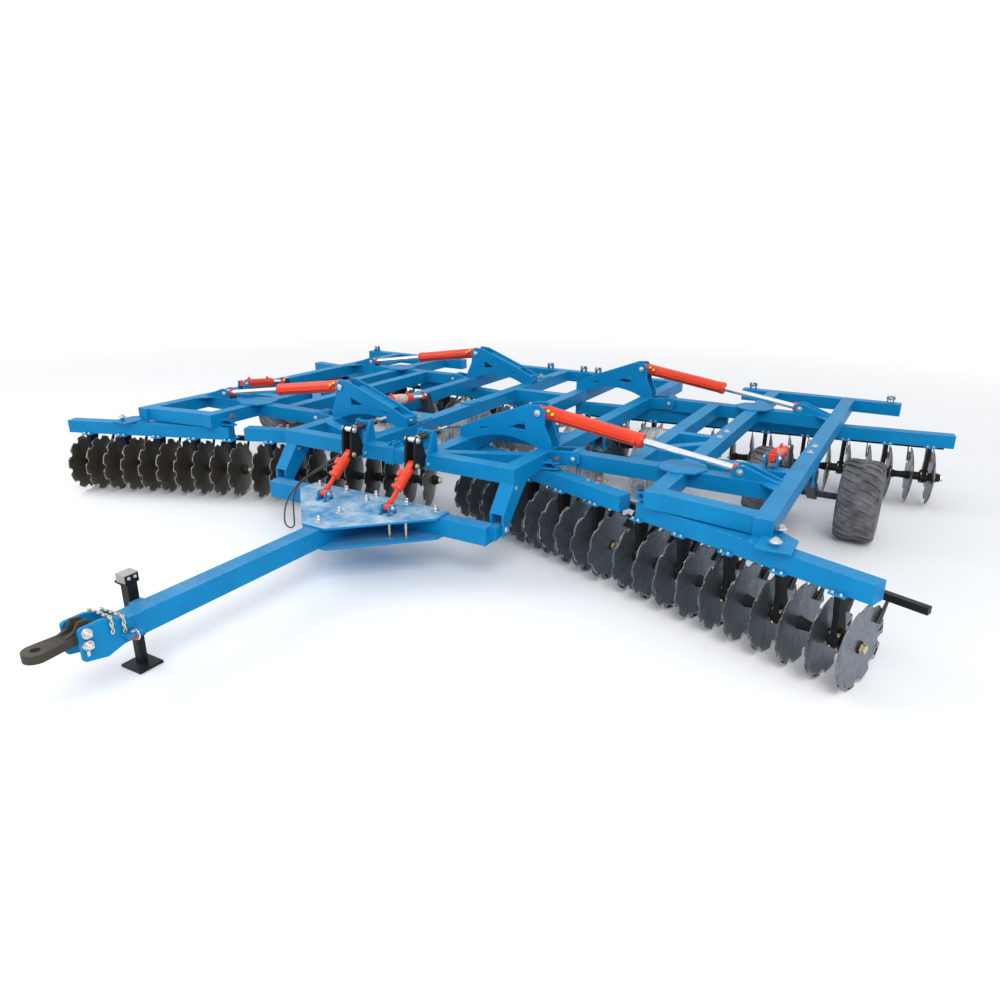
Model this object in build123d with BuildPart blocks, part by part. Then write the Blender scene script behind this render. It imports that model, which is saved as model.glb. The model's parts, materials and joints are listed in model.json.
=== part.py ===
"""A three-section folding tandem disc harrow on transport wheels, wings down at working width.

Millimetres. +X is the machine's left, -Y its front (the hitch), +Z up.
The origin is on the floor under the middle of the machine.
"""
from build123d import *
from math import atan2, cos, degrees, hypot, pi, radians, sin, tan
import os

# Sides of the machine: name and sign of X.
SIDES = (("left", 1), ("right", -1))

# Overall length, from the tip of the hitch eye to the back of the rear crossbeams.
length_overall = 8800
front_tip_y = -length_overall / 2
rear_end_y = length_overall / 2

# Main frame: square box beams that all lie at one level.
beam = 150
frame_bottom_z = 900
frame_top_z = frame_bottom_z + beam
frame_mid_z = frame_bottom_z + beam / 2
front_beam_y = -610
side_beam_x = 1350
spine_x = 420
brace_front_y = -550
brace_rear_y = -110
rear_beam_y = rear_end_y - beam / 2
lift_beam_y = 700
rear_tie_y = 2630
brace_width = 110

# The splice block round the middle of the front beam.
splice_width = 110
splice_proud = 14

# Fold hinges between the centre frame and the wings.
hinge_x = 1670
hinge_z = 1000
hinge_pin_r = 30
hinge_boss_r = 72
hinge_ear = 25
hinge_side_gap = 6
hinge_pin_head = 12
hinge_rows = (("front", 170), ("rear", 3120))

# Fold cylinders: base pins on the arched brackets, rod pins on the wing arms.
fold_base_x = 1270
fold_base_z = 1410
fold_rod_x = 3260
fold_rod_z = 1110
fold_barrel_r = 70
fold_barrel_length = 1080
fold_rod_r = 34
fold_retracted = 1215
fold_eye_width = 90
fold_lug_gap = 102
fold_lug_plate = 22
bracket_plate = 25
bracket_gap = 150
bracket_foot_x = 350
bracket_arch_in_x = 520
bracket_arch_x = 900
bracket_arch_rise = 85
bracket_web = 16
bracket_slot = (90, 14)
bracket_slot_x = 640

# Wing frame.
wing_inner_x = 2240
wing_mid_x = 2730
wing_outer_x = 3665
wing_mid_front_y = -650
wing_outer_front_y = -810
wing_lift_beam_y = 580
wing_brace_back = 95
wing_tie_y = 1450
wing_diagonal_y = (700, 1200)
wing_rear_x = (2310, 4290)
wing_arm_start_x = hinge_x + 25
octagon_width = 430
octagon_plate = 18
gusset_run = 150
gusset_sheet = 14

# Swivel joints between the frames and the gang beams: plates beside a beam, with a bolt.
swivel_plate = 14
swivel_rise = 62
swivel_reach = 150
swivel_half = 75
swivel_bolt_r = 20
swivel_bolt_top = 26

# Clevis clamps on the rear crossbeams and pads on the spines.
clevis_plate = 14
clevis_gap = 56
clevis_height = 88
clevis_length = 74
clevis_bolt_r = 11
pad_sheet = 16

# Places of the clevises on the rear crossbeams, the pads on the spines and the swivel plates.
CLEVIS_X = {"centre": (120, 690), "wing": (2440, 4160)}
SPINE_PADS = (450, 1520, 3550)
side_swivel_y = -25
mid_swivel_y = -430
# Plate at the front end of the outer wing beam, over the gang beam: X and Y from that end.
OUTER_SWIVEL = ((0, 0), (0, -250), (265, -250), (265, 40), (75, 210), (75, 0))
OUTER_SWIVEL_BOLTS = ((135, -190), (115, 100))

# Discs and gangs.
disc_dia = 660
disc_r = disc_dia / 2
disc_dish = 50
disc_hub_thickness = 10
disc_lobes = 10
notch_depth = 36
notch_half_angle = 7
disc_spacing = 230
spool_r = 50
bell_r = 62
bell_neck_r = 40
bell_taper = 0.62
bearing_shaft_start = 62
end_hub_length = 66
end_nut_r = 26
disc_clearance = 12
gang_z = disc_r + disc_clearance
gang_beam_bottom_z = 737
gang_beam_z = gang_beam_bottom_z + beam / 2
gang_beam_top_z = gang_beam_bottom_z + beam
gang_beam_lead = 38
shaft_end = 95

# Rows of gangs: X and Y of the innermost disc, angle, side that the dish opens to,
# number of the first disc on the wing, and the extra gap before that disc.
ROWS = {
    "front": (286, 475, -20.9, 1, 10, 63),
    "rear": (430, 3016, 8.0, -1, 9, 35),
}
# Gangs: row, section, first and last disc, how far the beam runs past them (less is short of
# them), and the hangers' places, where 0.5 is halfway from disc 0 to disc 1.
GANGS = (
    ("front", "centre", 0, 9, 40, 192, (0.5, 2.5, 4.5, 6.5, 8.5)),
    ("front", "wing", 10, 19, -95, 127, (10.5, 12.5, 14.5, 16.5, 18.5)),
    ("rear", "centre", 0, 8, 40, 135, (0.5, 2.5, 4.5, 6.5)),
    ("rear", "wing", 9, 19, -60, 127, (10.5, 12.5, 14.5, 16.5, 18.5)),
)

# Bearing hangers under the gang beams.
bearing_gap = 0.8
bearing_length = 84
bearing_wall = 26
hanger_plate = 46
hanger_foot = 160
clamp_plate = 16
clamp_size = 180
clamp_width = 120
seat_pad = frame_bottom_z - gang_beam_top_z
seat_length = 120

# Scrapers: a bar behind each gang on stays from its beam, with one blade for each disc.
scraper_bar = 56
scraper_back = 300
scraper_z = 652
scraper_blade = 10
scraper_disc_gap = 7
scraper_end = 90
scraper_long_end = 340
scraper_stay = 16
scraper_tip_z = 454

# Wheels, in pairs, one each side of a trailing arm.
tyre_dia = 872
tyre_r = tyre_dia / 2
tyre_width = 404
tyre_corners = 40
tyre_lug = 15
rim_r = 197
rim_sheet = 22
rim_flange = 0.7
hub_wall = 40
hub_half = 70
seat_gap = 0.3
wheel_offset = 470
wheel_z = tyre_r
# Wheel pairs: name, X of the trailing arm, Y of the axle.
WHEELS = (("centre", side_beam_x, 2180), ("wing", wing_outer_x, 1980))
arm_back = 600
arm_pivot_z = 800
arm_width = 100
arm_height = 120
rock_tube_r = 70
rock_lever_in = 230
axle_r = 35
axle_gap = 0.5
lever_pin_back = -60
lever_pin_up = 260
lever_gap = 80
lever_plate = 20
lift_eye_width = 66
lift_base_z = 1150
lift_pin_r = 20
lift_lug_gap = 86
lift_lug_plate = 18
arm_cheek = 20
arm_side_gap = 5
arm_raise = 18
arm_drop = 38
lift_barrel_r = 55
lift_barrel_length = 500
lift_rod_r = 25

# Drawbar.
drawbar_hinge_y = -820
drawbar_hinge_z = 510
crossbar_y = -975
crossbar_z = 494
crossbar_half = 1340
crossbar_depth = 150
crossbar_height = 174
gusset_plate = 20
gusset_half = 850
gusset_tip_half = 130
gusset_tip_y = -1830
gusset_corner = 45
stud_r = 13
tongue_width = 160
tongue_front_y = -3860
hitch_tip_r = 85
hitch_hole_r = 31
hitch_y = front_tip_y + hitch_tip_r
hitch_z = 575
hitch_thickness = 60
drawbar_up = 8
drawbar_down = 10
tongue_cap_back = 150
cheek_plate = 24
cheek_corner = 30
yoke_gap = 58
yoke_plate = 22
hook_lug = (90, 130, 20)
hook_lug_y = -3745
# Studs between the gusset plates: X and Y on the left, and the same on the right.
GUSSET_STUDS = ((470, -1330), (600, -1250))
jack_y = -3500
jack_x = -210
jack_top_z = 760
jack_tube_bottom_z = 250
jack_tube_width = 80
jack_head = (96, 110, 70)
jack_leg_width = 60
jack_crank_z = 650
jack_crank_r = 14
jack_crank_reach = 110
jack_leg_top_z = 455
jack_foot = (220, 200, 20)
jack_arm = (100, 120)

# Levelling gear between the drawbar plates and the front beam.
level_x = 390
level_top_y = -850
level_top_z = 975
level_foot_y = -1240
level_foot_z = 665
level_barrel_r = 45
level_barrel_length = 290
level_rod_r = 22
level_retracted = 440
level_ear_gap = 78
level_ear = 18
crank_top_y = -820
crank_top_z = 1220
crank_plate = 25
crank_gap = 80
crank_sleeve_r = 26

# Cushion springs: a rod from each crank's sleeve through a block between two wedge ears.
spring_rod_r = 16
spring_r = 38
spring_rod_end_y = -235
spring_block = (-592, -562)
spring_block_z = (1150, 1262)
spring_front_y = -735
spring_rear_y = -395
spring_nut_r = 27
spring_nut = 38
wedge_plate = 18
wedge_offset = 82

# Safety chain: two strands laid over the hitch cheeks, with links turned by turns.
chain_wire = 8
chain_length = 46
chain_width = 28
chain_pitch = 28
chain_links = 15
chain_off = 17
# Each strand's Y and the height on which its links rest there.
CHAIN_STRANDS = ((-3790, 614.4), (-3875, 646.75))

# Hydraulic hoses: the points of each route, from one fitting to the other.
hose_r = 8
crank_hose_x = -500
HOSES = {
    "hose_crank": (
        (crank_hose_x, front_beam_y - beam / 2, 970),
        (crank_hose_x, -755, 970),
        (-560, -850, 912),
        (-700, -985, 800),
        (-850, -1095, 672),
        (-955, -1150, 530),
        (-1012, -1168, 405),
        (-1034, -1176, 305),
        (-1036, -1180, 217),
        (-1010, -1181, 180),
        (-966, -1182, 166),
        (-922, -1181, 180),
        (-896, -1180, 217),
        (-897, -1176, 300),
        (-905, -1167, 390),
        (-915, -1145, 505),
        (-880, -1100, 635),
        (-770, -1010, 735),
        (-655, -900, 815),
        (-560, -805, 865),
        (crank_hose_x - 35, -745, 912),
        (crank_hose_x - 35, front_beam_y - beam / 2, 912),
    ),
    "hose_cross": (
        (-bracket_foot_x - 5, 140, 1120),
        (-275, 140, 1120),
        (-140, 150, 1090),
        (10, 172, 1078),
        (150, 190, 1090),
        (270, 200, 1120),
        (bracket_foot_x + 5, 200, 1120),
    ),
}


def plane_x(x):
    """Return the YZ plane at x, drawn with Y to the right and Z up."""
    return Plane(origin=(x, 0, 0), x_dir=(0, 1, 0), z_dir=(1, 0, 0))


def plane_y(y):
    """Return the XZ plane at y, drawn with X to the right and Z up."""
    return Plane(origin=(0, y, 0), x_dir=(1, 0, 0), z_dir=(0, -1, 0))


def bar(start, end, mid_z=frame_mid_z, width=beam, height=beam):
    """Add a straight box beam between two points of its centre line in plan."""
    run = Vector(end[0] - start[0], end[1] - start[1], 0)
    middle = ((start[0] + end[0]) / 2, (start[1] + end[1]) / 2, mid_z)
    with Locations(Plane(origin=middle, x_dir=run, z_dir=(0, 0, 1))):
        Box(run.length, width, height)


def slab(plane, points, thickness):
    """Add a flat plate: an outline on a plane, grown equally to both sides."""
    with BuildSketch(plane) as outline:
        with BuildLine():
            Polyline(*points, close=True)
        make_face()
    extrude(outline.sketch, amount=thickness / 2, both=True)


def rod_between(start, end, radius):
    """Add a round bar from one point to another."""
    run = Vector(*end) - Vector(*start)
    middle = (Vector(*start) + Vector(*end)) / 2
    with Locations(Plane(origin=middle, z_dir=run)):
        Cylinder(radius, run.length)


def bore(centre, direction, radius, length):
    """Cut a round hole through a point."""
    with Locations(Plane(origin=centre, z_dir=direction)):
        Cylinder(radius, length, mode=Mode.SUBTRACT)


def finish(builder, name):
    """Label a finished sub-part and write its STEP file."""
    builder.part.label = name
    export_step(builder.part, f"parts/{name}.step")


def plate_pair(plane_at, centre, gap, thickness, points):
    """Add two like plates, one each side of a centre, with a clear gap between them."""
    for side in (-1, 1):
        slab(plane_at(centre + side * (gap + thickness) / 2), points, thickness)


def flat_plate(bottom_z, thickness, points, corner=0):
    """Add a level plate on a height, with its corners rounded if a radius is given."""
    with BuildSketch(Plane.XY.offset(bottom_z)) as outline:
        with BuildLine():
            Polyline(*points, close=True)
        make_face()
        if corner:
            fillet(outline.vertices(), corner)
    extrude(outline.sketch, amount=thickness)


def add_lift_lug(x, y):
    """Add the two ears and the pin that hold a lift cylinder's base on its cross member."""
    plate_pair(
        plane_x,
        x,
        lift_lug_gap,
        lift_lug_plate,
        (
            (y - 60, frame_top_z),
            (y + 60, frame_top_z),
            (y + 35, lift_base_z + 35),
            (y - 35, lift_base_z + 35),
        ),
    )
    half_pin = lift_lug_gap / 2 + lift_lug_plate
    rod_between((x - half_pin, y, lift_base_z), (x + half_pin, y, lift_base_z), lift_pin_r)


def add_arm_bearing(x, y):
    """Add the two cheeks under a beam in which a wheel arm's cross tube turns."""
    plate_pair(
        plane_x,
        x,
        arm_width + 2 * arm_side_gap,
        arm_cheek,
        (
            (y - 140, frame_bottom_z),
            (y + 140, frame_bottom_z),
            (y + 95, arm_pivot_z - 95),
            (y - 95, arm_pivot_z - 95),
        ),
    )
    bore((x, y, arm_pivot_z), (1, 0, 0), rock_tube_r + axle_gap, beam + 20)


def add_clevis(x, y):
    """Add a pair of small ears with a cross bolt on top of a beam."""
    half = clevis_length / 2
    plate_pair(
        plane_x,
        x,
        clevis_gap,
        clevis_plate,
        (
            (y - half, frame_top_z),
            (y + half, frame_top_z),
            (y + half * 0.55, frame_top_z + clevis_height),
            (y - half * 0.55, frame_top_z + clevis_height),
        ),
    )
    half_bolt = clevis_gap / 2 + clevis_plate + clevis_bolt_r
    bolt_z = frame_top_z + clevis_height * 0.68
    rod_between((x - half_bolt, y, bolt_z), (x + half_bolt, y, bolt_z), clevis_bolt_r)


def add_swivel(x_face, out, y):
    """Add two tapered plates beside a beam and the bolt that holds the gang beam under them."""
    tip = x_face + out * swivel_reach
    half = swivel_half
    points = ((x_face, y - half), (x_face, y + half), (tip, y + half * 0.45), (tip, y - half * 0.45))
    for bottom_z in (frame_bottom_z, frame_bottom_z + swivel_rise):
        flat_plate(bottom_z, swivel_plate, points)
    bolt_x = x_face + out * (swivel_reach - 1.9 * swivel_bolt_r)
    bolt_top = frame_bottom_z + swivel_rise + swivel_plate + swivel_bolt_top
    rod_between((bolt_x, y, gang_beam_top_z), (bolt_x, y, bolt_top), swivel_bolt_r)


def add_corner_gusset(x, y, along_x, along_y):
    """Add a triangular sheet in the corner of two beams, flush with their tops."""
    points = ((x, y), (x + along_x * gusset_run, y), (x, y + along_y * gusset_run))
    flat_plate(frame_top_z - gusset_sheet, gusset_sheet, points)


def gang_plane(row, sign):
    """Return the plane at the innermost disc's hub whose Z runs out along the gang."""
    x, y, angle = ROWS[row][:3]
    out = (sign * cos(radians(angle)), sin(radians(angle)), 0)
    return Plane(origin=(sign * x, y, gang_z), x_dir=(0, 0, 1), z_dir=out)


def disc_station(row, number):
    """Return how far along its row a disc, or a place between discs, lies from the innermost."""
    first_on_wing, extra_gap = ROWS[row][4:]
    return number * disc_spacing + (extra_gap if number >= first_on_wing else 0)


def ring(station, radius, count, turn=0.0):
    """Return the corners of a regular ring round the gang axis."""
    step = 360 / count
    return [
        Vector(radius * cos(radians(turn + step * k)), radius * sin(radians(turn + step * k)), station)
        for k in range(count)
    ]


def notched_rim(station):
    """Return the corners of a disc's rim: a notch, then the two ends of a lobe, and so on."""
    step = 360 / disc_lobes
    corners = []
    for k in range(disc_lobes):
        for turn, radius in (
            (0, disc_r - notch_depth),
            (notch_half_angle, disc_r),
            (step - notch_half_angle, disc_r),
        ):
            angle = radians(step * k + turn)
            corners.append(Vector(radius * cos(angle), radius * sin(angle), station))
    return corners


def facet(*corners):
    """Return a flat face on three or four corners."""
    return Face(Wire.make_polygon(corners, close=True))


def skirt(low, high):
    """Return the flat faces between two like rings."""
    count = len(low)
    return [facet(low[k], low[k - 1], high[k - 1], high[k]) for k in range(count)]


def dish_faces(hub, rim):
    """Return one side of a disc: four facets from each side of the hub ring to the rim."""
    faces = []
    for k in range(disc_lobes):
        here, after = hub[k], hub[(k + 1) % disc_lobes]
        notch, lobe_start, lobe_end = rim[3 * k:3 * k + 3]
        next_notch = rim[(3 * k + 3) % len(rim)]
        faces.append(facet(here, notch, lobe_start))
        faces.append(facet(here, lobe_start, lobe_end))
        faces.append(facet(here, lobe_end, after))
        faces.append(facet(after, lobe_end, next_notch))
    return faces


def gang_rings(row, first, last, bearings):
    """Return the shaft's rings between and beyond the discs, as lists of (station, radius)."""
    opens_out = ROWS[row][3] > 0
    runs = []
    for number in range(first, last):
        low = disc_station(row, number)
        high = disc_station(row, number + 1)
        if number + 0.5 in bearings:
            start, radius = bearing_shaft_start, spool_r
        else:
            start, radius = (high - low) * bell_taper, bell_neck_r
        runs.append([(low + start if opens_out else high - start, radius)])
    inner, outer = disc_station(row, first), disc_station(row, last)
    before = [(inner - shaft_end, end_nut_r), (inner - end_hub_length, end_nut_r), (inner - end_hub_length, bell_neck_r)]
    after = [(outer + end_hub_length, bell_neck_r), (outer + end_hub_length, end_nut_r), (outer + shaft_end, end_nut_r)]
    return [before] + runs + [after]


def gang_solid(row, first, last, bearings):
    """Return one shaft with its bell spools and notched discs, as a closed skin of flat facets."""
    dish_side = ROWS[row][3]
    half = disc_hub_thickness / 2
    near_r, far_r = (spool_r, bell_r) if dish_side > 0 else (bell_r, spool_r)
    before, *runs = gang_rings(row, first, last, bearings)
    start = ring(*before[0], disc_lobes)
    faces = [Face(Wire.make_polygon(start, close=True))]
    for number in range(first, last + 1):
        station = disc_station(row, number)
        near = ring(station - half, near_r, disc_lobes)
        far = ring(station + half, far_r, disc_lobes)
        rim = notched_rim(station + dish_side * disc_dish)
        steps = [ring(*place, disc_lobes) for place in before[1:]] + [near]
        for step in steps:
            faces += skirt(start, step)
            start = step
        faces += dish_faces(near, rim)
        faces += dish_faces(far, rim)
        before = [None] + runs[number - first]
        start = far
    for place in runs[-1]:
        step = ring(*place, disc_lobes)
        faces += skirt(start, step)
        start = step
    faces.append(Face(Wire.make_polygon(start, close=True)))
    return Solid(Shell(faces))


def gang_beam_point(row, sign, along):
    """Return the plan point of a gang beam's centre line at a distance along the gang."""
    x, y, angle = ROWS[row][:3]
    out_x, out_y = cos(radians(angle)), sin(radians(angle))
    lead_x = gang_beam_lead * out_y
    lead_y = -gang_beam_lead * out_x
    return (sign * (x + along * out_x + lead_x), y + along * out_y + lead_y)


def gangs_of(section):
    """Return the rows of the gang table that belong to one section."""
    return [gang for gang in GANGS if gang[1] == section]


def add_gang_beams(section, sign):
    """Add the front and rear gang beams of one section with the clamp plates under them."""
    for row, _, first, last, past_inner, past_outer, hangers in gangs_of(section):
        start = gang_beam_point(row, sign, disc_station(row, first) - past_inner)
        end = gang_beam_point(row, sign, disc_station(row, last) + past_outer)
        bar(start, end, gang_beam_z)
        turn = atan2(end[1] - start[1], end[0] - start[0])
        for place in hangers:
            x, y = gang_beam_point(row, sign, disc_station(row, place))
            with Locations(Location((x, y, gang_beam_bottom_z - clamp_plate / 2), (0, 0, degrees(turn)))):
                Box(clamp_width, clamp_size, clamp_plate)


def add_seats(sign, crossings):
    """Add the pads between the gang beams and the frame beams that cross them."""
    for row in ROWS:
        for x in crossings:
            row_x, _, angle = ROWS[row][:3]
            along = (x - row_x) / cos(radians(angle))
            _, y = gang_beam_point(row, sign, along)
            with Locations((sign * x, y, frame_bottom_z - seat_pad / 2)):
                Box(beam, seat_length, seat_pad)


def hanger(row, sign, place):
    """Return one bearing hanger, from its clamp plate to its spool."""
    top = gang_beam_bottom_z - clamp_plate - gang_z
    centre = gang_plane(row, sign).offset(disc_station(row, place))
    lead = gang_beam_lead * sign
    with BuildPart() as made:
        with BuildSketch(centre) as web:
            with BuildLine():
                Polyline(
                    (0, -bearing_wall - spool_r),
                    (0, bearing_wall + spool_r),
                    (top * 0.55, lead + hanger_foot * 0.3),
                    (top, lead + hanger_foot / 2),
                    (top, lead - hanger_foot / 2),
                    (top * 0.55, lead - hanger_foot * 0.3),
                    close=True,
                )
            make_face()
        extrude(web.sketch, amount=hanger_plate / 2, both=True)
        with BuildSketch(centre) as housing:
            RegularPolygon(spool_r + bearing_wall, 8, major_radius=False)
        extrude(housing.sketch, amount=bearing_length / 2, both=True)
        with BuildSketch(centre) as hole:
            RegularPolygon(spool_r + bearing_gap, 8, major_radius=False)
        extrude(hole.sketch, amount=bearing_length, both=True, mode=Mode.SUBTRACT)
    return made.part


def scraper(row, sign, first, last, hangers, past_end):
    """Return the bar behind a gang, with its stays and one blade for each disc."""
    bar_top = scraper_z + scraper_bar / 2
    bar_bottom = scraper_z - scraper_bar / 2
    base = gang_plane(row, sign)
    dish_side = ROWS[row][3]
    start = disc_station(row, first) - scraper_end
    end = disc_station(row, last) + past_end
    # In a gang's plane X runs up, and Y runs forward on the left side and back on the right.
    back = -sign
    reach = disc_dish + scraper_disc_gap + scraper_blade / 2
    beam_back = beam / 2 - gang_beam_lead + seat_gap
    blade = (
        (bar_bottom + 10 - gang_z, back * (scraper_back - 25)),
        (bar_bottom + 10 - gang_z, back * (scraper_back + 15)),
        (scraper_tip_z - gang_z, back * (scraper_back - 70)),
        (scraper_tip_z + 38 - gang_z, back * (scraper_back - 150)),
    )
    stay = (
        (gang_beam_bottom_z + 25 - gang_z, back * beam_back),
        (gang_beam_top_z - 25 - gang_z, back * beam_back),
        (bar_top - 5 - gang_z, back * (scraper_back + 10)),
        (bar_bottom + 5 - gang_z, back * (scraper_back - 10)),
    )
    with BuildPart() as made:
        with Locations(base * Location((scraper_z - gang_z, back * scraper_back, (start + end) / 2))):
            Box(scraper_bar, scraper_bar, end - start)
        for number in range(first, last + 1):
            slab(base.offset(disc_station(row, number) + dish_side * reach), blade, scraper_blade)
        for place in (hangers[0] + 1, hangers[-1] - 1):
            slab(base.offset(disc_station(row, place)), stay, scraper_stay)
    return made.part


def hanger_set(section, sign):
    """Return the hangers and scrapers of both gangs of one section on one side."""
    pieces = []
    for row, _, first, last, _, _, hangers in gangs_of(section):
        past_end = scraper_long_end if (row, section) == ("front", "wing") else scraper_end
        pieces.append(scraper(row, sign, first, last, hangers, past_end))
        pieces += [hanger(row, sign, place) for place in hangers]
    return pieces


def tyre_rings():
    """Return a tyre's rings from bead to bead, with lugs as every second corner of the tread."""
    step = 360 / tyre_corners
    flat = cos(radians(step / 2))
    half = tyre_width / 2
    # Share of the half width, radius of the even corners, radius of the odd ones.
    profile = (
        (-0.72, (rim_r + seat_gap) / flat, (rim_r + seat_gap) / flat),
        (-1.0, rim_r + 115, rim_r + 115),
        (-0.84, tyre_r, tyre_r - tyre_lug),
        (0.0, tyre_r - tyre_lug / 2, tyre_r),
        (0.84, tyre_r, tyre_r - tyre_lug),
        (1.0, rim_r + 115, rim_r + 115),
        (0.72, (rim_r + seat_gap) / flat, (rim_r + seat_gap) / flat),
    )
    rings = []
    for share, even_r, odd_r in profile:
        corners = []
        for k in range(tyre_corners):
            radius = odd_r if k % 2 else even_r
            angle = radians(step * k)
            corners.append(Vector(share * half, radius * sin(angle), -radius * cos(angle)))
        rings.append(corners)
    return rings


def tyre_solid():
    """Return a tyre about the X axis, as a closed skin of flat facets."""
    rings = tyre_rings()
    faces = []
    for k in range(len(rings)):
        low, high = rings[k - 1], rings[k]
        for j in range(tyre_corners):
            faces.append(facet(low[j], low[j - 1], high[j - 1]))
            faces.append(facet(low[j], high[j - 1], high[j]))
    return Solid(Shell(faces))


os.makedirs("parts", exist_ok=True)

# Centre frame: front, rear and side beams, the two spines, ties and braces, and the drawbar legs.
with BuildPart() as centre_frame:
    bar((-side_beam_x - beam / 2, front_beam_y), (side_beam_x + beam / 2, front_beam_y))
    bar((-side_beam_x - beam / 2, rear_beam_y), (side_beam_x + beam / 2, rear_beam_y))
    for sign in (1, -1):
        bar((sign * side_beam_x, front_beam_y), (sign * side_beam_x, rear_beam_y))
        bar((sign * spine_x, front_beam_y), (sign * spine_x, rear_beam_y))
        bar((sign * spine_x, brace_front_y), (sign * side_beam_x, brace_rear_y), width=brace_width)
        bar((sign * spine_x, lift_beam_y), (sign * side_beam_x, lift_beam_y))
        slab(
            plane_x(sign * side_beam_x),
            (
                (front_beam_y - beam / 2, frame_bottom_z),
                (front_beam_y + beam * 1.3, frame_bottom_z),
                (drawbar_hinge_y + 70, drawbar_hinge_z + 40),
                (drawbar_hinge_y + 60, drawbar_hinge_z - 60),
                (drawbar_hinge_y - 50, drawbar_hinge_z - 60),
                (drawbar_hinge_y - 50, drawbar_hinge_z + 150),
            ),
            beam,
        )
        with Locations((sign * side_beam_x, drawbar_hinge_y, drawbar_hinge_z)):
            Box(beam - 50, 260, 300, mode=Mode.SUBTRACT)
        rod_between(
            (sign * (side_beam_x - beam / 2), drawbar_hinge_y, drawbar_hinge_z),
            (sign * (side_beam_x + beam / 2), drawbar_hinge_y, drawbar_hinge_z),
            hinge_pin_r,
        )
        for _, row_y in hinge_rows:
            for ear_y in (-1, 1):
                ear_offset = ear_y * (beam / 2 + hinge_side_gap + hinge_ear / 2)
                slab(
                    plane_y(row_y + ear_offset),
                    (
                        (sign * (side_beam_x + beam / 2 - 10), frame_bottom_z + 5),
                        (sign * (side_beam_x + beam / 2 - 10), frame_top_z - 5),
                        (sign * (hinge_x + 20), hinge_z + hinge_boss_r),
                        (sign * (hinge_x + hinge_boss_r), hinge_z + 20),
                        (sign * (hinge_x + hinge_boss_r), hinge_z - 30),
                        (sign * (hinge_x + 20), hinge_z - hinge_boss_r),
                    ),
                    hinge_ear,
                )
            half_pin = beam / 2 + hinge_side_gap + hinge_ear + hinge_pin_head
            rod_between(
                (sign * hinge_x, row_y - half_pin, hinge_z),
                (sign * hinge_x, row_y + half_pin, hinge_z),
                hinge_pin_r,
            )
        add_arm_bearing(sign * side_beam_x, WHEELS[0][2] - arm_back)
        add_lift_lug(sign * (side_beam_x - rock_lever_in), lift_beam_y)
        add_swivel(sign * (side_beam_x + beam / 2), sign, side_swivel_y)
        for x in CLEVIS_X["centre"]:
            add_clevis(sign * x, rear_beam_y)
        for y in SPINE_PADS:
            flat_plate(
                frame_top_z,
                pad_sheet,
                [(sign * (spine_x + dx), y + dy) for dx, dy in ((-60, -130), (105, -90), (105, 90), (-60, 130))],
            )
        plate_pair(
            plane_x,
            sign * level_x,
            2 * wedge_offset - wedge_plate,
            wedge_plate,
            (
                (front_beam_y - beam / 2 - 45, frame_bottom_z + 5),
                (front_beam_y - beam / 2 - 45, frame_bottom_z + 90),
                (spring_block[0] - 5, spring_block_z[1] + 10),
                (spring_block[1] + 15, spring_block_z[1] + 10),
                (front_beam_y + beam / 2, frame_top_z + 60),
                (front_beam_y + beam / 2, frame_top_z - 40),
                (front_beam_y, frame_bottom_z + 60),
            ),
        )
        with Locations((sign * level_x, sum(spring_block) / 2, sum(spring_block_z) / 2)):
            Box(
                2 * wedge_offset,
                spring_block[1] - spring_block[0],
                spring_block_z[1] - spring_block_z[0],
            )
        bore((sign * level_x, sum(spring_block) / 2, crank_top_z), (0, 1, 0), spring_rod_r + axle_gap, 60)
    with Locations((0, front_beam_y, frame_mid_z)):
        Box(splice_width, beam + 2 * splice_proud, beam + 2 * splice_proud)
    bar((-spine_x, rear_tie_y), (spine_x, rear_tie_y))
finish(centre_frame, "centre_frame")

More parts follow.
